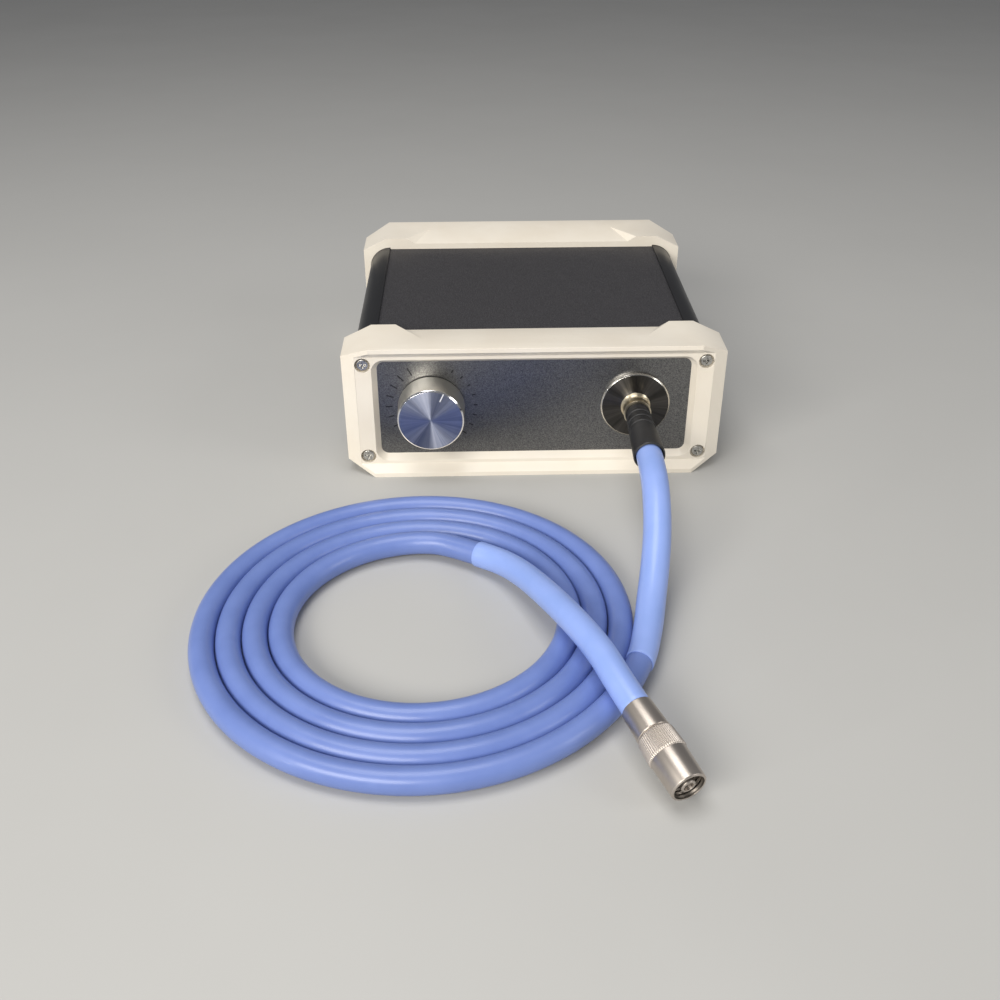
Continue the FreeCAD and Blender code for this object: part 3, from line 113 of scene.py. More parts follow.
def shown(name, mesh, sharp=35):
    mesh.polygons.foreach_set("use_smooth", [True] * len(mesh.polygons))
    mesh.set_sharp_from_angle(angle=math.radians(sharp))
    piece = bpy.data.objects.new(name, mesh)
    bpy.context.scene.collection.objects.link(piece)
    return piece


# Each corner of a line of points gives way to a short curve that touches both of its sides
def softened(profile, size, loop=False, steps=3):
    p = np.array(profile, float)
    n = len(p)
    out = []
    for k in range(n):
        if not loop and k in (0, n - 1):
            out.append(p[k])
            continue
        before, after = p[k - 1] - p[k], p[(k + 1) % n] - p[k]
        a, b = np.linalg.norm(before), np.linalg.norm(after)
        if min(a, b) < 1e-9:
            continue
        cut = min(size, 0.4 * a, 0.4 * b)  # short of the middle of either side
        start, end = p[k] + before / a * cut, p[k] + after / b * cut
        for t in np.linspace(0, 1, steps + 1):
            out.append((1 - t) ** 2 * start + 2 * t * (1 - t) * p[k] + t * t * end)
    return np.array(out)


# A profile of (distance from the axis, place along it) in millimetres is turned round the axis: a
# point is base + axis * along + distance * (cos u, sin u), and a ripple takes a wave of so many teeth
# off the distance
def turnedPiece(name, profile, base, axis, soft=0.12, sides=128, loop=False, ripple=None, sharp=35):
    p = softened(profile, soft, loop)
    axis = np.array(axis, float) / np.linalg.norm(axis)
    side = np.cross(axis, (0, 0, 1) if abs(axis[2]) < 0.9 else (1, 0, 0))
    side /= np.linalg.norm(side)
    other = np.cross(axis, side)
    u = np.arange(sides) / sides * 2 * math.pi
    distance = np.repeat(p[None, :, 0], sides, 0)
    if ripple:
        inside = (p[:, 1] > ripple["from"]) & (p[:, 1] < ripple["to"]) & (p[:, 0] > ripple["above"])
        wave = 0.5 - 0.5 * np.cos(ripple["teeth"] * u)
        distance = distance - ripple["depth"] * inside[None] * wave[:, None]
    ring = np.cos(u)[:, None, None] * side + np.sin(u)[:, None, None] * other
    points = np.array(base) + (distance[:, :, None] * ring + p[None, :, 1, None] * axis) * mm
    length = np.r_[0, np.cumsum(np.linalg.norm(np.diff(np.r_[p, p[:1]], axis=0), axis=1))]
    return surfaceMesh(name, points, wrapU=True, wrapV=loop, alongV=length, sharp=sharp)


# A tube wall carried along a path: each ring stands square to the path at its place, from the near
# end to the far end outside and back again inside. Outside, the radius falls by the taper towards
# the end that it is given for, as the cosine of the way there.
def carriedTube(name, path, start, end, outer, inner, taper=(0.0, 0.0, 1.0), sides=48, step=1.2 * mm,
                rim=0.25 * mm):
    lengths = np.r_[0, np.cumsum(np.linalg.norm(np.diff(path, axis=0), axis=1))]
    count = max(4, int((end - start) / step))
    run = np.linspace(start + rim, end - rim, count)
    s = np.r_[start, start + rim * 0.3, run, end - rim * 0.3, end, end, run[::-1], start]
    r = np.r_[outer - rim, outer - rim * 0.3, np.full(count, outer), outer - rim * 0.3, outer - rim,
              np.full(count + 2, inner)]
    atStart, atEnd, reach = taper
    fall = [0.5 + 0.5 * np.cos(np.pi * np.clip(way / reach, 0, 1)) for way in (s - start, end - s)]
    r[:count + 4] -= (atStart * fall[0] + atEnd * fall[1])[:count + 4]
    place = np.stack([np.interp(s, lengths, path[:, k]) for k in range(3)], -1)
    ahead = np.gradient(path, axis=0)
    tangent = np.stack([np.interp(s, lengths, ahead[:, k]) for k in range(3)], -1)
    tangent /= np.linalg.norm(tangent, axis=1)[:, None]
    side = np.cross(tangent, (0, 0, 1))
    side /= np.linalg.norm(side, axis=1)[:, None]
    other = np.cross(tangent, side)
    u = np.arange(sides) / sides * 2 * math.pi
    ring = np.cos(u)[:, None, None] * side + np.sin(u)[:, None, None] * other
    points = place + r[None, :, None] * ring
    length = np.r_[0, np.cumsum(np.linalg.norm(np.diff(np.r_[place, place[:1]], axis=0), axis=1))]
    return surfaceMesh(name, points, wrapU=True, wrapV=True, alongV=length)


# A copy of a CAD node with its loose triangles joined, its flat sides whole and its edges softened
def refinedNode(node, pieceName, bevel=0.0, sharp=30):
    mesh = frame["nodes"][node].data.copy()
    mesh.name = pieceName
    if "custom_normal" in mesh.attributes:
        mesh.attributes.remove(mesh.attributes["custom_normal"])
    work = bmesh.new()
    work.from_mesh(mesh)
    bmesh.ops.remove_doubles(work, verts=work.verts, dist=2e-6)
    bmesh.ops.dissolve_limit(work, angle_limit=math.radians(0.5), verts=work.verts, edges=work.edges)
    work.to_mesh(mesh)
    work.free()
    piece = shown(pieceName, mesh, sharp)
    if bevel:
        edge = piece.modifiers.new("soft edges", "BEVEL")
        edge.width = bevel * mm
        edge.segments = 3
        edge.limit_method = "ANGLE"
        edge.angle_limit = math.radians(sharp)
        edge.harden_normals = True
    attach(piece, bodyOf[node])
    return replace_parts(piece, node)


def placed(piece, body, *nodes):
    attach(piece, body)
    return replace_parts(piece, *nodes) if nodes else piece


# Ways of making a material

def newGroup(name, inputs, outputs):
    tree = bpy.data.node_groups.new(name, "ShaderNodeTree")
    for label, kind, value in inputs:
        socket = tree.interface.new_socket(name=label, in_out="INPUT", socket_type=kind)
        if value is not None:
            socket.default_value = value
    for label, kind in outputs:
        tree.interface.new_socket(name=label, in_out="OUTPUT", socket_type=kind)
    return tree, tree.nodes.new("NodeGroupInput"), tree.nodes.new("NodeGroupOutput")


def addNode(tree, kind, inputs=None, **settings):
    node = tree.nodes.new(kind)
    for key, value in settings.items():
        setattr(node, key, value)
    for key, value in (inputs or {}).items():
        if isinstance(value, bpy.types.NodeSocket):
            tree.links.new(value, node.inputs[key])
        else:
            node.inputs[key].default_value = value
    return node


# Fine grain and a broad unevenness, both from 0 to 1, with the grain's size in millimetres
def buildGrain():
    tree, into, out = newGroup("fine grain", [("Vector", "NodeSocketVector", None),
                                              ("Grains per metre", "NodeSocketFloat", 3000.0),
                                              ("Patches per metre", "NodeSocketFloat", 60.0)],
                               [("Grain", "NodeSocketFloat"), ("Patches", "NodeSocketFloat")])
    grain = addNode(tree, "ShaderNodeTexNoise", {"Vector": into.outputs["Vector"],
                                                 "Scale": into.outputs["Grains per metre"],
                                                 "Detail": 2.0, "Roughness": 0.6})
    patches = addNode(tree, "ShaderNodeTexNoise", {"Vector": into.outputs["Vector"],
                                                   "Scale": into.outputs["Patches per metre"],
                                                   "Detail": 3.0, "Roughness": 0.55})
    tree.links.new(grain.outputs["Fac"], out.inputs["Grain"])
    tree.links.new(patches.outputs["Fac"], out.inputs["Patches"])
    return tree


# Marks that run one way: noise drawn out along a direction by its scales
def buildStreaks():
    tree, into, out = newGroup("drawn marks", [("Vector", "NodeSocketVector", None),
                                               ("Scale", "NodeSocketVector", (1, 1, 1))],
                               [("Marks", "NodeSocketFloat")])
    drawn = addNode(tree, "ShaderNodeVectorMath", {0: into.outputs["Vector"], 1: into.outputs["Scale"]},
                    operation="MULTIPLY")
    marks = addNode(tree, "ShaderNodeTexNoise", {"Vector": drawn.outputs[0], "Scale": 1.0,
                                                 "Detail": 3.0, "Roughness": 0.7})
    tree.links.new(marks.outputs["Fac"], out.inputs["Marks"])
    return tree


# Painted highlight rays from a centre: light and dark wedges from noise read on the direction from the
# centre, so it is the same all along a ray
def buildPaintedRays():
    tree, into, out = newGroup("turning rays", [("Vector", "NodeSocketVector", None),
                                                ("Centre", "NodeSocketVector", (0, 0, 0)),
                                                ("Rays", "NodeSocketFloat", 6.0)],
                               [("Rays", "NodeSocketFloat")])
    away = addNode(tree, "ShaderNodeVectorMath", {0: into.outputs["Vector"], 1: into.outputs["Centre"]},
                   operation="SUBTRACT")
    flat = addNode(tree, "ShaderNodeVectorMath", {0: away.outputs[0], 1: (1, 0, 1)},
                   operation="MULTIPLY")
    way = addNode(tree, "ShaderNodeVectorMath", {0: flat.outputs[0]}, operation="NORMALIZE")
    rays = addNode(tree, "ShaderNodeTexNoise", {"Vector": way.outputs[0], "Scale": into.outputs["Rays"],
                                                "Detail": 3.0, "Roughness": 0.65})
    tree.links.new(rays.outputs["Fac"], out.inputs["Rays"])
    return tree


grainGroup = buildGrain()
streakGroup = buildStreaks()
paintedRayGroup = buildPaintedRays()


# A finish goes from a colour to its partner by broad patches, or by the fine grain where it is specked,
# by marks drawn round a turned piece, or by painted highlight rays from a centre. The roughness wanders
# with the patches, and the grain or the marks stand up by the depth, in millimetres.
def newFinish(name, colour, partner, rough, wander=0.06, metal=0.0, grains=3000.0, patches=60.0,
              depth=0.01, contrast=(0.35, 0.65), specked=False, marks=None, rays=None, **sockets):
    material = bpy.data.materials.new(name)
    material.use_nodes = True
    tree = material.node_tree
    shader = tree.nodes["Principled BSDF"]
    shader.inputs["Metallic"].default_value = metal
    for key, value in sockets.items():
        shader.inputs[key.replace("_", " ")].default_value = value
    coordinates = tree.nodes.new("ShaderNodeTexCoord")
    grain = addNode(tree, "ShaderNodeGroup", node_tree=grainGroup)
    tree.links.new(coordinates.outputs["Object"], grain.inputs["Vector"])
    grain.inputs["Grains per metre"].default_value = grains
    grain.inputs["Patches per metre"].default_value = patches
    height = grain.outputs["Grain"]
    tone = grain.outputs["Grain" if specked else "Patches"]
    if marks:
        drawn = addNode(tree, "ShaderNodeGroup", node_tree=streakGroup)
        tree.links.new(coordinates.outputs["UV"], drawn.inputs["Vector"])
        drawn.inputs["Scale"].default_value = marks
        height = tone = drawn.outputs["Marks"]
    # painted highlight: the base colour turns lighter and darker in wedges from a centre, standing in
    # for the highlight on spun metal
    if rays:
        paintedSpokes = addNode(tree, "ShaderNodeGroup", node_tree=paintedRayGroup)
        tree.links.new(coordinates.outputs["Object"], paintedSpokes.inputs["Vector"])
        across, up = rays["centre"]
        paintedSpokes.inputs["Centre"].default_value = (across * mm, 0, up * mm)
        paintedSpokes.inputs["Rays"].default_value = rays["count"]
        tone = paintedSpokes.outputs["Rays"]
    spread = addNode(tree, "ShaderNodeMapRange", {"Value": tone, "From Min": contrast[0],
                                                  "From Max": contrast[1]})
    mixed = addNode(tree, "ShaderNodeMix", data_type="RGBA")
    tree.links.new(spread.outputs["Result"], mixed.inputs["Factor"])
    mixed.inputs["A"].default_value = (*colour, 1)
    mixed.inputs["B"].default_value = (*partner, 1)
    tree.links.new(mixed.outputs["Result"], shader.inputs["Base Color"])
    uneven = addNode(tree, "ShaderNodeMapRange", {"Value": grain.outputs["Patches"], "From Min": 0.3,
                                                  "From Max": 0.7, "To Min": rough - wander,
                                                  "To Max": rough + wander})  # noise keeps to the middle
    tree.links.new(uneven.outputs["Result"], shader.inputs["Roughness"])
    bump = addNode(tree, "ShaderNodeBump", {"Height": height, "Distance": depth * mm, "Strength": 1.0})
    tree.links.new(bump.outputs["Normal"], shader.inputs["Normal"])
    return material


# Turned metal: fine marks round it, and the light drawn out across them
def newTurnedFinish(name, colour, partner, rough, stretch, marks=5000.0, wander=0.03, depth=0.002,
                    **others):
    material = newFinish(name, colour, partner, rough, wander=wander, metal=1.0, depth=depth,
                         marks=(2.0, marks, 1.0), Anisotropic=stretch, Anisotropic_Rotation=0.25,
                         **others)
    tree = material.node_tree
    tangent = addNode(tree, "ShaderNodeTangent", direction_type="UV_MAP", uv_map="surface")
    tree.links.new(tangent.outputs["Tangent"], tree.nodes["Principled BSDF"].inputs["Tangent"])
    return material


def dress(piece, material, slotName=None):
    piece.data.materials.clear()
    piece.data.materials.append(material)
    return piece if slotName else piece


finishes = {
    "ivory": newFinish("ivory plastic", (0.84, 0.77, 0.66), (0.87, 0.81, 0.71), 0.34, 0.05,
                       grains=2500, patches=45, depth=0.003, Coat_Weight=0.12),
    "profile": newFinish("black anodised profile", (0.018, 0.018, 0.02), (0.03, 0.03, 0.033), 0.36,
                         0.05, metal=0.6, grains=5000, patches=30, depth=0.002),
    "cover": newFinish("textured black cover", (0.024, 0.023, 0.026), (0.085, 0.083, 0.09), 0.62, 0.06,
                       grains=2300, patches=40, depth=0.03, contrast=(0.42, 0.72), specked=True,
                       Specular_IOR_Level=0.3),
    "panel": newFinish("blasted grey panel", (0.1, 0.1, 0.103), (0.31, 0.307, 0.3), 0.34, 0.03,
                       metal=0.95, grains=2600, patches=35, depth=0.008, contrast=(0.3, 0.75),
                       specked=True),
    "screw": newFinish("zinc screw", (0.42, 0.41, 0.39), (0.6, 0.59, 0.56), 0.28, 0.08, metal=1.0,
                       grains=4000, patches=500, depth=0.002),
    "steel": newFinish("machined steel", (0.5, 0.5, 0.5), (0.62, 0.62, 0.62), 0.3, 0.06, metal=1.0,
                       grains=4000, patches=200, depth=0.002),
    "brass": newFinish("brass", (0.7, 0.52, 0.22), (0.8, 0.62, 0.3), 0.28, 0.06, metal=1.0,
                       grains=4000, patches=200, depth=0.002),
    "rubber": newFinish("black rubber boot", (0.012, 0.012, 0.013), (0.022, 0.022, 0.024), 0.46, 0.06,
                        grains=5000, patches=250, depth=0.004),
    "jacket": newFinish("blue jacket", (0.145, 0.215, 0.52), (0.165, 0.24, 0.56), 0.36, 0.04,
                        grains=1800, patches=70, depth=0.004, Coat_Weight=0.1),
    "sleeve": newFinish("blue sleeve", (0.27, 0.39, 0.8), (0.3, 0.42, 0.85), 0.34, 0.04,
                        grains=1800, patches=70, depth=0.003, Coat_Weight=0.1),
    "ink": newFinish("scale ink", (0.01, 0.01, 0.01), (0.02, 0.02, 0.02), 0.45, 0.05,
                     grains=6000, patches=400, depth=0.001),
    "paint": newFinish("index paint", (0.75, 0.76, 0.78), (0.85, 0.86, 0.88), 0.4, 0.05,
                       grains=6000, patches=400, depth=0.001),
    "lens": newFinish("lens glass", (0.93, 0.95, 0.97), (0.96, 0.97, 0.98), 0.03, 0.01,
                      grains=800, patches=60, depth=0.0002, Transmission_Weight=1.0, IOR=1.5),
    "fibre": newFinish("fibre ends", (0.012, 0.012, 0.014), (0.07, 0.07, 0.08), 0.12, 0.05,
                       grains=9000, patches=900, depth=0.002, contrast=(0.3, 0.6), specked=True),
    "emitter": newFinish("light source", (0.85, 0.75, 0.15), (0.9, 0.82, 0.3), 0.2, 0.05,
                         grains=3000, patches=300, depth=0.001, Coat_Weight=0.8),
    "whiteBoard": newFinish("white board", (0.75, 0.75, 0.74), (0.82, 0.82, 0.81), 0.4, 0.05,
                            grains=3000, patches=200, depth=0.002),
    "greenBoard": newFinish("green board", (0.02, 0.12, 0.05), (0.03, 0.17, 0.07), 0.35, 0.06,
                            grains=2500, patches=300, depth=0.004),
    "darkPlastic": newFinish("dark moulded plastic", (0.016, 0.016, 0.017), (0.028, 0.028, 0.03), 0.42,
                             0.06, grains=3000, patches=120, depth=0.006),
    "greenPlastic": newFinish("green terminal plastic", (0.05, 0.25, 0.1), (0.07, 0.3, 0.13), 0.4, 0.05,
                              grains=3000, patches=150, depth=0.004),
    "bareAluminium": newFinish("bare aluminium", (0.6, 0.6, 0.61), (0.7, 0.7, 0.71), 0.32, 0.06,
                               metal=1.0, grains=3000, patches=60, depth=0.004),
    "blackTube": newFinish("black lens tube", (0.02, 0.02, 0.022), (0.035, 0.035, 0.038), 0.35, 0.05,
                           metal=0.5, grains=4000, patches=100, depth=0.002),
    "ferrite": newFinish("wound core", (0.06, 0.055, 0.05), (0.4, 0.3, 0.08), 0.5, 0.06,
                         grains=1500, patches=80, depth=0.01, contrast=(0.45, 0.6)),
    "canSleeve": newFinish("capacitor sleeve", (0.02, 0.04, 0.16), (0.03, 0.055, 0.2), 0.3, 0.05,
                           grains=2500, patches=150, depth=0.003, Coat_Weight=0.4),
}
turned = {
    # the knob face's light and dark wedges from its centre are painted highlight rays
    "knobFace": newTurnedFinish("spun knob face with painted highlight rays", (0.24, 0.27, 0.37), (0.5, 0.52, 0.6), 0.34, 1.0,
                                marks=9000.0, wander=0.02, depth=0.001, contrast=(0.3, 0.7),
                                rays={"centre": dialPlace, "count": 5.0}),
    # painted highlight: the knob's chamfer is whitened apart from the face, standing in for the
    # highlight ring on it
    "knobEdgePaintedHighlight": newTurnedFinish("knob edge with painted highlight", (0.86, 0.87, 0.9), (0.92, 0.92, 0.94), 0.14, 0.3,
                                marks=6000.0, wander=0.02, depth=0.0005),
    # partly painted reflection: the side's grey is the metal's own, and its warm cream tint stands in
    # for the reflected ivory bezel
    "knobSidePaintedReflection": newTurnedFinish("knob side with painted reflection", (0.78, 0.76, 0.7), (0.88, 0.86, 0.8), 0.3, 0.6,
                                marks=6000.0),
    # painted shade: the flange face is darkened to stand in for the dark surroundings it reflects, and
    # painted highlight rays cross it
    "flange": newTurnedFinish("socket flange with painted shade and highlight rays", (0.05, 0.048, 0.045), (0.12, 0.112, 0.105),
                              0.34, 1.0, marks=7000.0, rays={"centre": socketPlace, "count": 3.0}),
    # painted highlight: the flange's chamfered rim is made bright to stand in for the light it catches
    "flangeEdgePaintedHighlight": newTurnedFinish("flange edge with painted highlight", (0.6, 0.58, 0.54), (0.7, 0.68, 0.63), 0.2, 0.3,
                                  marks=6000.0, depth=0.001),
    "collar": newTurnedFinish("turned plug collar", (0.66, 0.58, 0.42), (0.78, 0.7, 0.54), 0.3, 0.4,
                              marks=6000.0),
    "nickel": newTurnedFinish("satin nickel", (0.52, 0.465, 0.42), (0.62, 0.565, 0.51), 0.4, 0.45),
    # partly painted light: the rougher teeth are real, and the colour lighter than the nut's nickel
    # stands in for the light the knurl catches
    "knurl": newTurnedFinish("knurled nickel with painted light", (0.62, 0.56, 0.51), (0.72, 0.66, 0.6), 0.5, 0.2),
    # painted shade: the inside of the cup and its thread are darkened where shade falls in the hollow
    "paintedShadeNickel": newTurnedFinish("thread with painted shade", (0.16, 0.145, 0.13), (0.3, 0.27, 0.24), 0.42, 0.3,
                                  wander=0.04),
}
print("materials made")


# The light guide's jacket: one spline from the boot round the coil to the far fitting
guide = {
    "diameter": 8.25 * mm,
    "coilX": -41.55 * mm,
    "coilY": -169.1 * mm,
    "coilRadius": 72.2 * mm,
    "pitch": 8.37 * mm,  # the turns all but touch
    "quarters": 13,
    "startAngle": 75.0,
    "closeRadius": 43.3 * mm,
    "endRadius": 25.5 * mm,
    "endAngle": 30.8,
    "startLift": 2.5,
    "endLift": 1.4,
    "stepAngle": 15.0,
    "endRun": 7.0 * mm,
    "length": 1573.0 * mm,
}
leadRoute = [(socketPlace[0], -103.0, socketPlace[1]), (socketPlace[0], -118.0, socketPlace[1]),
             (39.6, -131.2, 25.1), (38.4, -144.1, 19.3), (36.3, -155.8, 13.5), (33.7, -167.4, 9.1)]
tailRoute = [(-11.7, -145.3, 7.2), (-5.5, -156.9, 9.8), (1.0, -172.4, 12.9), (6.9, -186.2, 14.8),
             (13.3, -201.5, 15.4)]
tipReach = np.array((11.0, -26.4, -4.5))  # how far the far fitting goes across, forwards and up
tip = {
    "place": np.array((21.35, -223.3, 12.5)) * mm,
    "direction": tipReach / np.linalg.norm(tipReach),
    "straight": 11.0 * mm,
}


# Every arc of the coil gives the corners of the runs that touch it, a step of turn apart. The spline
# touches the same runs at their middles, so it has the arc's radius. The turns lie on the floor: the
# first comes down to it by a slope, and the last rises from it.
def coilPoints(g):
    quarter = g["pitch"] / 4
    arcs = [(g["coilRadius"] + quarter / 2, g["startAngle"])]
    arcs += [(g["coilRadius"] - quarter / 2 - k * quarter, 90.0) for k in range(g["quarters"])]
    arcs += [(g["closeRadius"], 90.0), (g["endRadius"], g["endAngle"])]
    floor = g["diameter"] / 2
    nearest = g["coilY"] - g["coilRadius"]
    a = math.radians(g["startAngle"])
    x = g["coilX"] + arcs[0][0] * math.sin(a)
    y = nearest + arcs[0][0] * (1 - math.cos(a))
    heading = math.pi + a
    startUp = math.tan(math.radians(g["startLift"]))
    endUp = math.tan(math.radians(g["endLift"]))

    riseFrom = g["coilX"]

    def lifted(x, y, part):
        if part == 0:
            return floor + startUp * (y - nearest)
        return floor + (endUp * (x - riseFrom) if part > g["quarters"] else 0)

    before = g["diameter"]
    startX, startY = x - before * math.cos(heading), y - before * math.sin(heading)
    points = [(startX, startY, lifted(startX, startY, 0))]
    for part, (radius, angle) in enumerate(arcs):
        if part == g["quarters"] + 1:
            riseFrom = x
        steps = max(1, round(angle / g["stepAngle"]))
        turn = math.radians(angle) / steps
        half = radius * math.tan(turn / 2)
        for _ in range(steps):
            x, y = x + half * math.cos(heading), y + half * math.sin(heading)
            points.append((x, y, lifted(x, y, part)))
            heading -= turn
            x, y = x + half * math.cos(heading), y + half * math.sin(heading)
    ahead = g["diameter"] + g["endRun"]
    x, y = x + ahead * math.cos(heading), y + ahead * math.sin(heading)
    points.append((x, y, lifted(x, y, len(arcs))))
    return points


def splineCurve(name, points, radius):
    data = bpy.data.curves.new(name, "CURVE")
    data.dimensions = "3D"
    spline = data.splines.new("NURBS")
    spline.points.add(len(points) - 1)
    spline.points.foreach_set("co", np.c_[np.array(points, float), np.ones(len(points))].ravel())
    # The points carry the thickness, so that the curve's own box stays close round it
    spline.points.foreach_set("radius", np.full(len(points), radius))
    spline.order_u = 3
    spline.use_endpoint_u = True
    data.resolution_u = 6
    data.bevel_resolution = 8
    data.use_fill_caps = True
    piece = bpy.data.objects.new(name, data)
    bpy.context.scene.collection.objects.link(piece)
    bare = bpy.data.meshes.new_from_object(piece)
    line = np.zeros(len(bare.vertices) * 3)
    bare.vertices.foreach_get("co", line)
    bpy.data.meshes.remove(bare)
    data.bevel_depth = 1.0
    return piece, line.reshape(-1, 3)


route = [tuple(c * mm for c in p) for p in leadRoute]
route += coilPoints(guide)
route += [tuple(c * mm for c in p) for p in tailRoute]
route += [tuple(tip["place"] - tip["direction"] * tip["straight"]), tuple(tip["place"])]
jacket, centreLine = splineCurve("lightGuideJacket", route, guide["diameter"] / 2)
placed(jacket, "light_guide", "light_guide_lead", "light_guide_coil", "light_guide_tail")
dress(jacket, finishes["jacket"], "blue_jacket")
walked = np.linalg.norm(np.diff(centreLine, axis=0), axis=1).sum()
print("jacket laid,", round(walked, 4), "m long")

sleeves = {
    "leadRadius": 4.85 * mm,
    "leadLength": 98.5 * mm,
    "leadTaper": (0.0, 0.28 * mm, 30 * mm),  # at the boot, at the coil, and over what length
    "tailRadius": 4.55 * mm,
    "tailLength": 101.0 * mm,
    "bore": 4.14 * mm,
    "rim": 0.36 * mm,
}
leadSleeve = carriedTube("leadSleeve", centreLine, 0.0, sleeves["leadLength"], sleeves["leadRadius"],
                         sleeves["bore"], sleeves["leadTaper"], rim=sleeves["rim"])
placed(leadSleeve, "light_guide", "lead_sleeve")
dress(leadSleeve, finishes["sleeve"], "blue_sleeve")
tailSleeve = carriedTube("tailSleeve", centreLine, walked - sleeves["tailLength"], walked,
                         sleeves["tailRadius"], sleeves["bore"], rim=sleeves["rim"])
placed(tailSleeve, "light_guide", "tail_sleeve")
dress(tailSleeve, finishes["sleeve"], "blue_sleeve")
print("sleeves drawn")


# Case
refined = {
    "front_bezel": ("frontBezel", 0.45, "ivory"),
    "rear_bezel": ("rearBezel", 0.45, "ivory"),
    "left_side_profile": ("leftProfile", 0.0, "profile"),
    "right_side_profile": ("rightProfile", 0.0, "profile"),
    "top_cover": ("topCover", 0.15, "cover"),
    "bottom_cover": ("bottomCover", 0.0, "cover"),
    "front_panel": ("frontPanel", 0.0, "panel"),
    "rear_panel": ("rearPanel", 0.0, "cover"),
    "front_bezel_screws": ("frontScrews", 0.12, "screw"),
    "rear_bezel_screws": ("rearScrews", 0.12, "screw"),
    "power_inlet": ("mainsInlet", 0.0, "darkPlastic"),
    "power_switch": ("switchBody", 0.0, "darkPlastic"),
    "switch_rocker": ("switchRocker", 0.3, "darkPlastic"),
    "inlet_screws": ("inletScrews", 0.12, "screw"),
    "fan_screws": ("fanScrews", 0.12, "screw"),
    "fan_frame": ("fanFrame", 0.0, "darkPlastic"),
    "fan_rotor": ("fanRotor", 0.0, "darkPlastic"),
}
for node, (pieceName, bevel, finish) in refined.items():
    dress(refinedNode(node, pieceName, bevel), finishes[finish])
print("case dressed")

plainNodes = {
    "steel": ["knob_set_screw", "dial_shaft", "dial_potentiometer", "dial_washer", "dial_nut",
              "socket_nut", "plug_ferrule"],
    "screw": ["bracket_screws", "bracket_nuts", "lamp_screws", "fan_nuts", "inlet_nuts",
              "board_screws", "board_nuts"],
    "brass": ["inlet_pins", "board_standoffs"],
    "bareAluminium": ["lamp_bracket", "heat_sink"],
    "blackTube": ["lens_tube", "lens_spacer", "lens_ring"],
    "lens": ["rear_lens", "front_lens"],
    "whiteBoard": ["led_board"],
    "emitter": ["led_emitter"],
    "greenBoard": ["supply_board"],
    "greenPlastic": ["board_terminals"],
    "ferrite": ["board_transformer"],
    "canSleeve": ["board_capacitors"],
    "fibre": ["lamp_end_fibres", "tip_fibres"],
}
for finish, nodes in plainNodes.items():
    for node in nodes:
        dress(frame["nodes"][node], finishes[finish])

# Dial
dial = {
    "x": dialPlace[0],
    "height": dialPlace[1],
    "face": -78.0,
    "radius": 12.9,
    "baseRadius": 13.2,
    "length": 11.85,
    "edge": 0.6,
    "baseEdge": 0.25,
    "skirt": 1.5,
    "recess": 6.0,
    "bore": 3.03,
    "boreDepth": 2.0,
    "indexAngle": 24.7,
    "indexInner": 9.0,
    "indexRim": 0.35,
    "indexWidth": 0.45,
    "indexProud": 0.02,
    "indexSunk": 0.1,
}
sameFlat = 0.02 * mm  # faces this near to a level belong to it


# Distance of each face from an axis, and its place along the axis
def facePlaces(piece, base, axis):
    centres = np.zeros(len(piece.data.polygons) * 3)
    piece.data.polygons.foreach_get("center", centres)
    away = centres.reshape(-1, 3) - np.array(base)
    along = away @ np.array(axis, float)
    return np.linalg.norm(away - along[:, None] * np.array(axis, float), axis=1), along


def addKnob(d):
    base = (d["x"] * mm, d["face"] * mm, d["height"] * mm)
    roof = d["length"] - d["recess"]
    profile = [(0, 0), (d["radius"] - d["edge"], 0), (d["radius"], d["edge"]),
               (d["baseRadius"], d["length"] - d["baseEdge"]),
               (d["baseRadius"] - d["baseEdge"], d["length"]),
               (d["baseRadius"] - d["skirt"], d["length"]),
               (d["baseRadius"] - d["skirt"], roof), (d["bore"], roof), (d["bore"], d["boreDepth"]),
               (0, d["boreDepth"])]
    knob = turnedPiece("dialKnob", profile, base, (0, 1, 0), soft=0.06, sides=192)
    placed(knob, "dial", "dial_knob")
    dress(knob, turned["knobFace"], "turned_aluminium")
    # the chamfer takes the painted-highlight copy of the knob's metal
    knob.data.materials.append(turned["knobEdgePaintedHighlight"])
    # the side takes the copy of the knob's metal with a painted reflection
    knob.data.materials.append(turned["knobSidePaintedReflection"])
    depth = facePlaces(knob, base, (0, 1, 0))[1]
    part = np.where(depth < sameFlat, 0, np.where(depth < d["edge"] * mm, 1, 2))
    knob.data.polygons.foreach_set("material_index", part.astype(np.int32))


# A flat bar as a closed box: half its width each side of a radial line, from inner to outer
def radialBars(name, bars, d, front, back):
    points, faces = [], []
    for angle, inner, outer, width in bars:
        a = math.radians(angle)
        along, across = np.array((math.sin(a), math.cos(a))), np.array((math.cos(a), -math.sin(a)))
        corners = [along * r + across * w for r, w in ((inner, -width / 2), (outer, -width / 2),
                                                       (outer, width / 2), (inner, width / 2))]
        n = len(points)
        for y in (front, back):
            points += [((d["x"] + c[0]) * mm, y * mm, (d["height"] + c[1]) * mm) for c in corners]
        faces += [(n, n + 1, n + 2, n + 3), (n + 7, n + 6, n + 5, n + 4)]
        faces += [(n + k, n + 4 + k, n + 4 + (k + 1) % 4, n + (k + 1) % 4) for k in range(4)]
    mesh = bpy.data.meshes.new(name)
    mesh.from_pydata(points, [], faces)
    work = bmesh.new()
    work.from_mesh(mesh)
    bmesh.ops.recalc_face_normals(work, faces=work.faces)
    work.to_mesh(mesh)
    work.free()
    return shown(name, mesh)


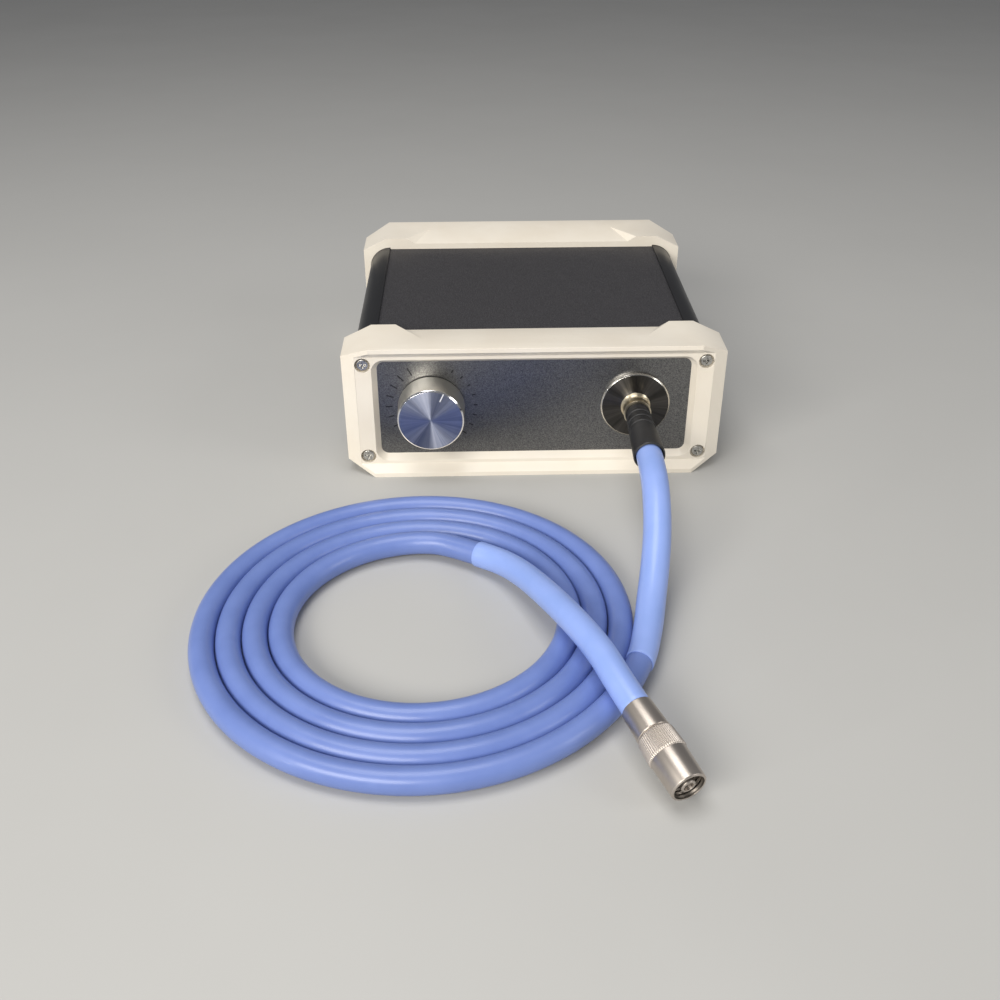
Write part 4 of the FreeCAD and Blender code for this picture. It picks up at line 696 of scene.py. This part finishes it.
scale = {
    "spacing": 15.0,
    "leftAngles": (-120.0, -28.0),
    "rightAngles": (29.5, 132.5),
    "leftInner": 15.35,
    "leftOuter": (17.6, 19.0),
    "rightInner": 16.7,
    "rightOuter": (18.0, 18.5),
    "width": 0.55,
    "proud": 0.03,
    "sunk": 0.05,
}


# A row of ticks from one angle to the other, whose outer ends go evenly from one radius to the other
def tickRow(s, angles, inner, outers):
    t = np.linspace(0, 1, 1 + round((angles[1] - angles[0]) / s["spacing"]))
    turns = angles[0] + t * (angles[1] - angles[0])
    outer = outers[0] + t * (outers[1] - outers[0])
    return [(turn, inner, end, s["width"]) for turn, end in zip(turns, outer)]


def addScale(s, d):
    bars = tickRow(s, s["leftAngles"], s["leftInner"], s["leftOuter"])
    bars += tickRow(s, s["rightAngles"], s["rightInner"], s["rightOuter"])
    marks = radialBars("dialScale", bars, d, panelFront - s["proud"], panelFront + s["sunk"])
    placed(marks, "case")
    dress(marks, finishes["ink"])


def addIndex(d):
    bar = (d["indexAngle"], d["indexInner"], d["radius"] - d["indexRim"], d["indexWidth"])
    index = radialBars("dialIndex", [bar], d, d["face"] - d["indexProud"], d["face"] + d["indexSunk"])
    placed(index, "dial")
    dress(index, finishes["paint"])


addKnob(dial)
addScale(scale, dial)
addIndex(dial)
print("dial made")

# Socket, plug and boot, all turned round one axis that points out of the panel
socket = {
    "base": (socketPlace[0] * mm, panelFront * mm, socketPlace[1] * mm),
    "flangeRadius": 13.75,
    "thickness": 1.75,
    "edge": 0.6,
    "flareFoot": 9.0,
    "flareRadius": 5.9,
    "flareHeight": 2.35,
    "barrelRadius": 8.0,
    "barrelEnd": -11.0,
    "bore": 4.05,
}
plug = {
    "collarLength": 6.0,
    "neck": 4.5,
    "waist": 0.4,
    "rim": 5.4,
    "pocket": 1.0,
    "spigot": 3.3,
    "spigotLength": 7.0,
    "bore": 2.5,
    "ferrule": 4.0,
    "ferruleSeat": 1.0,
    "gap": 0.05,
}
boot = {
    "front": 4.4,
    "start": 7.45,
    "length": 34.9,
    "lip": 0.4,
    "lipSlope": 1.0,
    "ribRadius": 4.9,
    "ribHeight": 0.35,
    "ribStart": 8.8,
    "ribPitch": 4.5,
    "ribSlope": 0.4,  # share of the pitch
    "ribBack": 0.3,
    "ribs": 3,
    "shoulder": 5.45,
    "end": 5.9,
    "endEdge": 0.5,
    "mouth": 5.3,
    "mouthDepth": 3.0,
    "mouthSlope": 0.5,
    "grip": 4.9,
    "spigotRoom": 1.0,
}
outOfPanel = (0, -1, 0)


# The flange's flare is a quarter of an ellipse from its foot to its top
def addFlange(s):
    a = np.linspace(0, math.pi / 2, 12)
    flare = np.c_[s["flareRadius"] + (s["flareFoot"] - s["flareRadius"]) * (1 - np.cos(a)),
                  s["thickness"] + (s["flareHeight"] - s["thickness"]) * (1 - np.sin(a))]
    profile = [(s["bore"], s["barrelEnd"]), (s["bore"], s["flareHeight"]), *map(tuple, flare),
               (s["flangeRadius"] - s["edge"], s["thickness"]),
               (s["flangeRadius"], s["thickness"] - s["edge"]), (s["flangeRadius"], 0),
               (s["barrelRadius"], 0), (s["barrelRadius"], s["barrelEnd"])]
    flange = turnedPiece("socketFlange", profile, s["base"], outOfPanel, soft=0.08, sides=192,
                         loop=True)
    placed(flange, "case", "socket_flange")
    dress(flange, turned["flange"], "satin_steel")
    flange.data.materials.append(turned["flangeEdgePaintedHighlight"])
    away, along = facePlaces(flange, s["base"], outOfPanel)
    # the chamfered rim takes the painted-highlight copy of the flange's metal
    edge = (away > (s["flangeRadius"] - s["edge"]) * mm) & (along < s["thickness"] * mm - sameFlat / 2)
    flange.data.polygons.foreach_set("material_index", edge.astype(np.int32))


# The collar swells from its waist as the square of the way to each end
def addCollar(s, p, b):
    rear = s["flareHeight"] + p["gap"]
    front = rear + p["collarLength"]
    t = np.linspace(0, 1, 15)
    swell = np.where(t < p["waist"], s["flareRadius"], p["rim"])
    span = np.where(t < p["waist"], p["waist"], 1 - p["waist"])
    radius = p["neck"] + (swell - p["neck"]) * ((t - p["waist"]) / span) ** 2
    waist = np.c_[radius, rear + p["collarLength"] * t]
    pocket = b["front"] + p["gap"]
    floor = front - p["pocket"]
    seat = rear + p["ferruleSeat"]
    spigotEnd = front + p["spigotLength"]
    profile = [(p["ferrule"], rear), *map(tuple, waist), (pocket, front), (pocket, floor),
               (p["spigot"], floor), (p["spigot"], spigotEnd), (p["bore"], spigotEnd),
               (p["bore"], seat), (p["ferrule"], seat)]
    collar = turnedPiece("plugCollar", profile, s["base"], outOfPanel, soft=0.08, sides=128, loop=True)
    placed(collar, "light_guide", "plug_collar")
    dress(collar, turned["collar"], "nickel")


def addBoot(s, p, b):
    start, end = b["start"], b["start"] + b["length"]
    lip = start + p["pocket"] + b["lip"]
    outer = [(b["front"], start), (b["front"], lip), (b["ribRadius"], lip + b["lipSlope"])]
    for k in range(b["ribs"]):
        at = start + b["ribStart"] + (k - 0.5) * b["ribPitch"]
        swell = b["ribRadius"] + (b["shoulder"] - b["ribRadius"]) * (k + 1) / (b["ribs"] + 1)
        low = swell - b["ribHeight"]
        outer += [(low, at - b["ribPitch"] * b["ribSlope"]), (swell, at), (low, at + b["ribBack"])]
    shoulder = start + b["ribStart"] + (b["ribs"] - 0.5) * b["ribPitch"]
    outer += [(b["shoulder"], shoulder), (b["end"], end - b["endEdge"]),
              (b["end"] - b["endEdge"], end)]
    step = start + p["pocket"] + p["spigotLength"] + b["spigotRoom"]
    neck = p["spigot"] + p["gap"]
    mouthEnd = end - b["mouthDepth"]
    inner = [(b["mouth"], end), (b["mouth"], mouthEnd), (b["grip"], mouthEnd - b["mouthSlope"]),
             (b["grip"], step), (neck, step), (neck, start)]
    piece = turnedPiece("plugBoot", outer + inner, s["base"], outOfPanel, soft=0.25, sides=128,
                        loop=True)
    placed(piece, "light_guide", "plug_boot")
    dress(piece, finishes["rubber"], "black_rubber")


addFlange(socket)
addCollar(socket, plug, boot)
addBoot(socket, plug, boot)
print("socket and plug made")

# Far fitting: collar, knurled nut with its threaded cup, and the fibre tube in the cup
fitting = {
    "collarBack": 4.85,
    "collarRadius": 5.25,
    "collarLength": 10.3,
    "collarBore": 3.7,
    "collarSeat": 3.0,
    "backEdge": 0.2,
    "frontEdge": 0.3,
    "spindle": 4.16,
    "spindleLength": 3.0,
    "gap": 0.06,
    "ringBack": 5.6,
    "ringRadius": 6.0,
    "ringLength": 7.8,
    "cupBack": 5.7,
    "cupRadius": 5.42,
    "cupLength": 10.9,
    "wall": 0.75,
    "bore": 4.4,
    "boreFrom": 4.0,
    "neckTo": 3.5,
    "mouthDepth": 0.6,
    "threadInset": 1.2,
    "threadDepth": 0.35,
    "threadPitch": 1.2,
    "threads": 5,
    "edge": 0.55,
    "knurlTeeth": 54,
    "knurlDepth": 0.25,
    "knurlInset": 0.33,
    "postRadius": 2.3,
    "postBore": 1.5,
    "postInset": 0.3,
}


def addFitting(f, t):
    base, axis = t["place"], t["direction"]
    ringEnd = f["collarLength"] + f["gap"] + f["ringLength"]
    end = f["collarLength"] + f["ringLength"] + f["cupLength"]
    stub = f["collarLength"] + f["spindleLength"]
    profile = [(f["collarBore"], 0), (f["collarBack"] - f["backEdge"], 0),
               (f["collarBack"], f["backEdge"]),
               (f["collarRadius"], f["collarLength"] - f["frontEdge"]),
               (f["collarRadius"] - f["frontEdge"], f["collarLength"]),
               (f["spindle"], f["collarLength"]), (f["spindle"], stub), (f["postRadius"], stub),
               (f["postRadius"], f["collarSeat"]), (f["collarBore"], f["collarSeat"])]
    collar = turnedPiece("tipCollar", profile, base, axis, soft=0.1, loop=True)
    placed(collar, "light_guide", "tip_collar")
    dress(collar, turned["nickel"], "nickel")

    start = f["collarLength"] + f["gap"]
    neck = f["bore"] - 2 * f["gap"]
    mouth = f["cupRadius"] - f["wall"]
    outer = [(neck, start), (f["ringBack"] - f["edge"], start), (f["ringBack"], start + f["edge"])]
    outer += [(f["ringRadius"], ringEnd - f["edge"]), (f["ringRadius"] - f["edge"], ringEnd)]
    outer += [(f["cupBack"], ringEnd), (f["cupRadius"], end - f["frontEdge"]),
              (f["cupRadius"] - f["frontEdge"], end)]
    inner = [(mouth, end), (mouth, end - f["mouthDepth"])]
    threadStart = end - f["threadInset"] - f["threads"] * f["threadPitch"]
    for k in reversed(range(f["threads"])):
        at = threadStart + k * f["threadPitch"]
        inner += [(f["bore"], at + f["threadPitch"]),
                  (f["bore"] + f["threadDepth"], at + f["threadPitch"] / 2)]
    inner += [(f["bore"], threadStart), (f["bore"], f["collarLength"] + f["boreFrom"]),
              (neck, f["collarLength"] + f["neckTo"])]
    knurl = {"from": start + f["knurlInset"], "to": ringEnd - f["knurlInset"],
             "above": f["ringBack"] - f["edge"], "depth": f["knurlDepth"], "teeth": f["knurlTeeth"]}
    nut = turnedPiece("couplingNut", outer + inner, base, axis, soft=0.1, sides=8 * f["knurlTeeth"],
                      loop=True, ripple=knurl, sharp=50)
    placed(nut, "coupling", "coupling_nut")
    dress(nut, turned["nickel"], "nickel")
    # the knurled ring takes the lighter copy of the nickel, with painted light
    nut.data.materials.append(turned["knurl"])
    nut.data.materials.append(turned["paintedShadeNickel"])
    away, along = facePlaces(nut, base, axis)
    # faces inside the cup take the painted-shade copy of the nickel
    part = np.where(away < mouth * mm + sameFlat, 2, np.where(along < ringEnd * mm, 1, 0))
    nut.data.polygons.foreach_set("material_index", part.astype(np.int32))

    postEnd = end - f["postInset"]
    profile = [(f["postBore"], f["collarSeat"]), (f["postRadius"], f["collarSeat"]),
               (f["postRadius"], postEnd - f["frontEdge"]),
               (f["postRadius"] - f["frontEdge"], postEnd), (f["postBore"], postEnd)]
    post = turnedPiece("tipPost", profile, base, axis, soft=0.08, sides=64, loop=True)
    placed(post, "light_guide", "tip_post")
    dress(post, turned["nickel"], "nickel")


addFitting(fitting, tip)
print("far fitting made")

# Studio: pale floor, a broad key light in front on the left, a small one further left for a gleam on the
# knob and the panel, and weak ones above and on the right
studio = {
    "floorSize": 4.0,
    "floorColour": (0.5, 0.5, 0.49),
    "floorPartner": 0.97,  # share of the floor's colour
    "air": (0.66, 0.67, 0.7),
    "airStrength": 0.26,
}
lamps = {
    "key": {"place": (-0.55, -1.05, 0.64), "aim": (0.0, -0.1, 0.02), "size": (1.0, 0.45),
            "watts": 14.0, "colour": (1.0, 0.965, 0.9)},
    "overhead": {"place": (-0.15, -0.15, 1.0), "aim": (0.0, -0.1, 0.0), "size": (0.6, 0.6),
                 "watts": 5.0, "colour": (1.0, 0.98, 0.95)},
    "side": {"place": (-0.86, -0.72, 0.17), "aim": (-0.04, -0.08, 0.03), "size": (0.07, 0.07),
             "watts": 0.7, "colour": (0.95, 0.97, 1.0)},
    "right": {"place": (0.95, -0.5, 0.5), "aim": (0.0, -0.1, 0.03), "size": (0.4, 0.4),
              "watts": 2.0, "colour": (1.0, 0.98, 0.95)},
}


def addStudio(s, lights):
    half = s["floorSize"] / 2
    corners = np.array([[(-half, -half, 0), (-half, half, 0)],
                        [(half, -half, 0), (half, half, 0)]], float)
    floor = surfaceMesh("floor", corners)
    if floor.data.polygons[0].normal.z < 0:
        floor.data.flip_normals()
    partner = tuple(c * s["floorPartner"] for c in s["floorColour"])
    dress(floor, newFinish("pale floor", s["floorColour"], partner, 0.6, 0.04, grains=900, patches=8,
                           depth=0.002))
    world = bpy.data.worlds.new("studio")
    world.use_nodes = True
    world.node_tree.nodes["Background"].inputs["Color"].default_value = (*s["air"], 1)
    world.node_tree.nodes["Background"].inputs["Strength"].default_value = s["airStrength"]
    bpy.context.scene.world = world
    bpy.context.scene.view_settings.view_transform = "Standard"
    for name, l in lights.items():
        data = bpy.data.lights.new(name, "AREA")
        data.shape = "RECTANGLE"
        data.size, data.size_y = l["size"]
        data.energy = l["watts"]
        data.color = l["colour"]
        lamp = bpy.data.objects.new(name, data)
        bpy.context.scene.collection.objects.link(lamp)
        lamp.location = l["place"]
        way = Vector(l["aim"]) - Vector(l["place"])
        lamp.rotation_euler = way.to_track_quat("-Z", "Y").to_euler()


addStudio(studio, lamps)
print("studio lit")

bpy.context.view_layer.update()
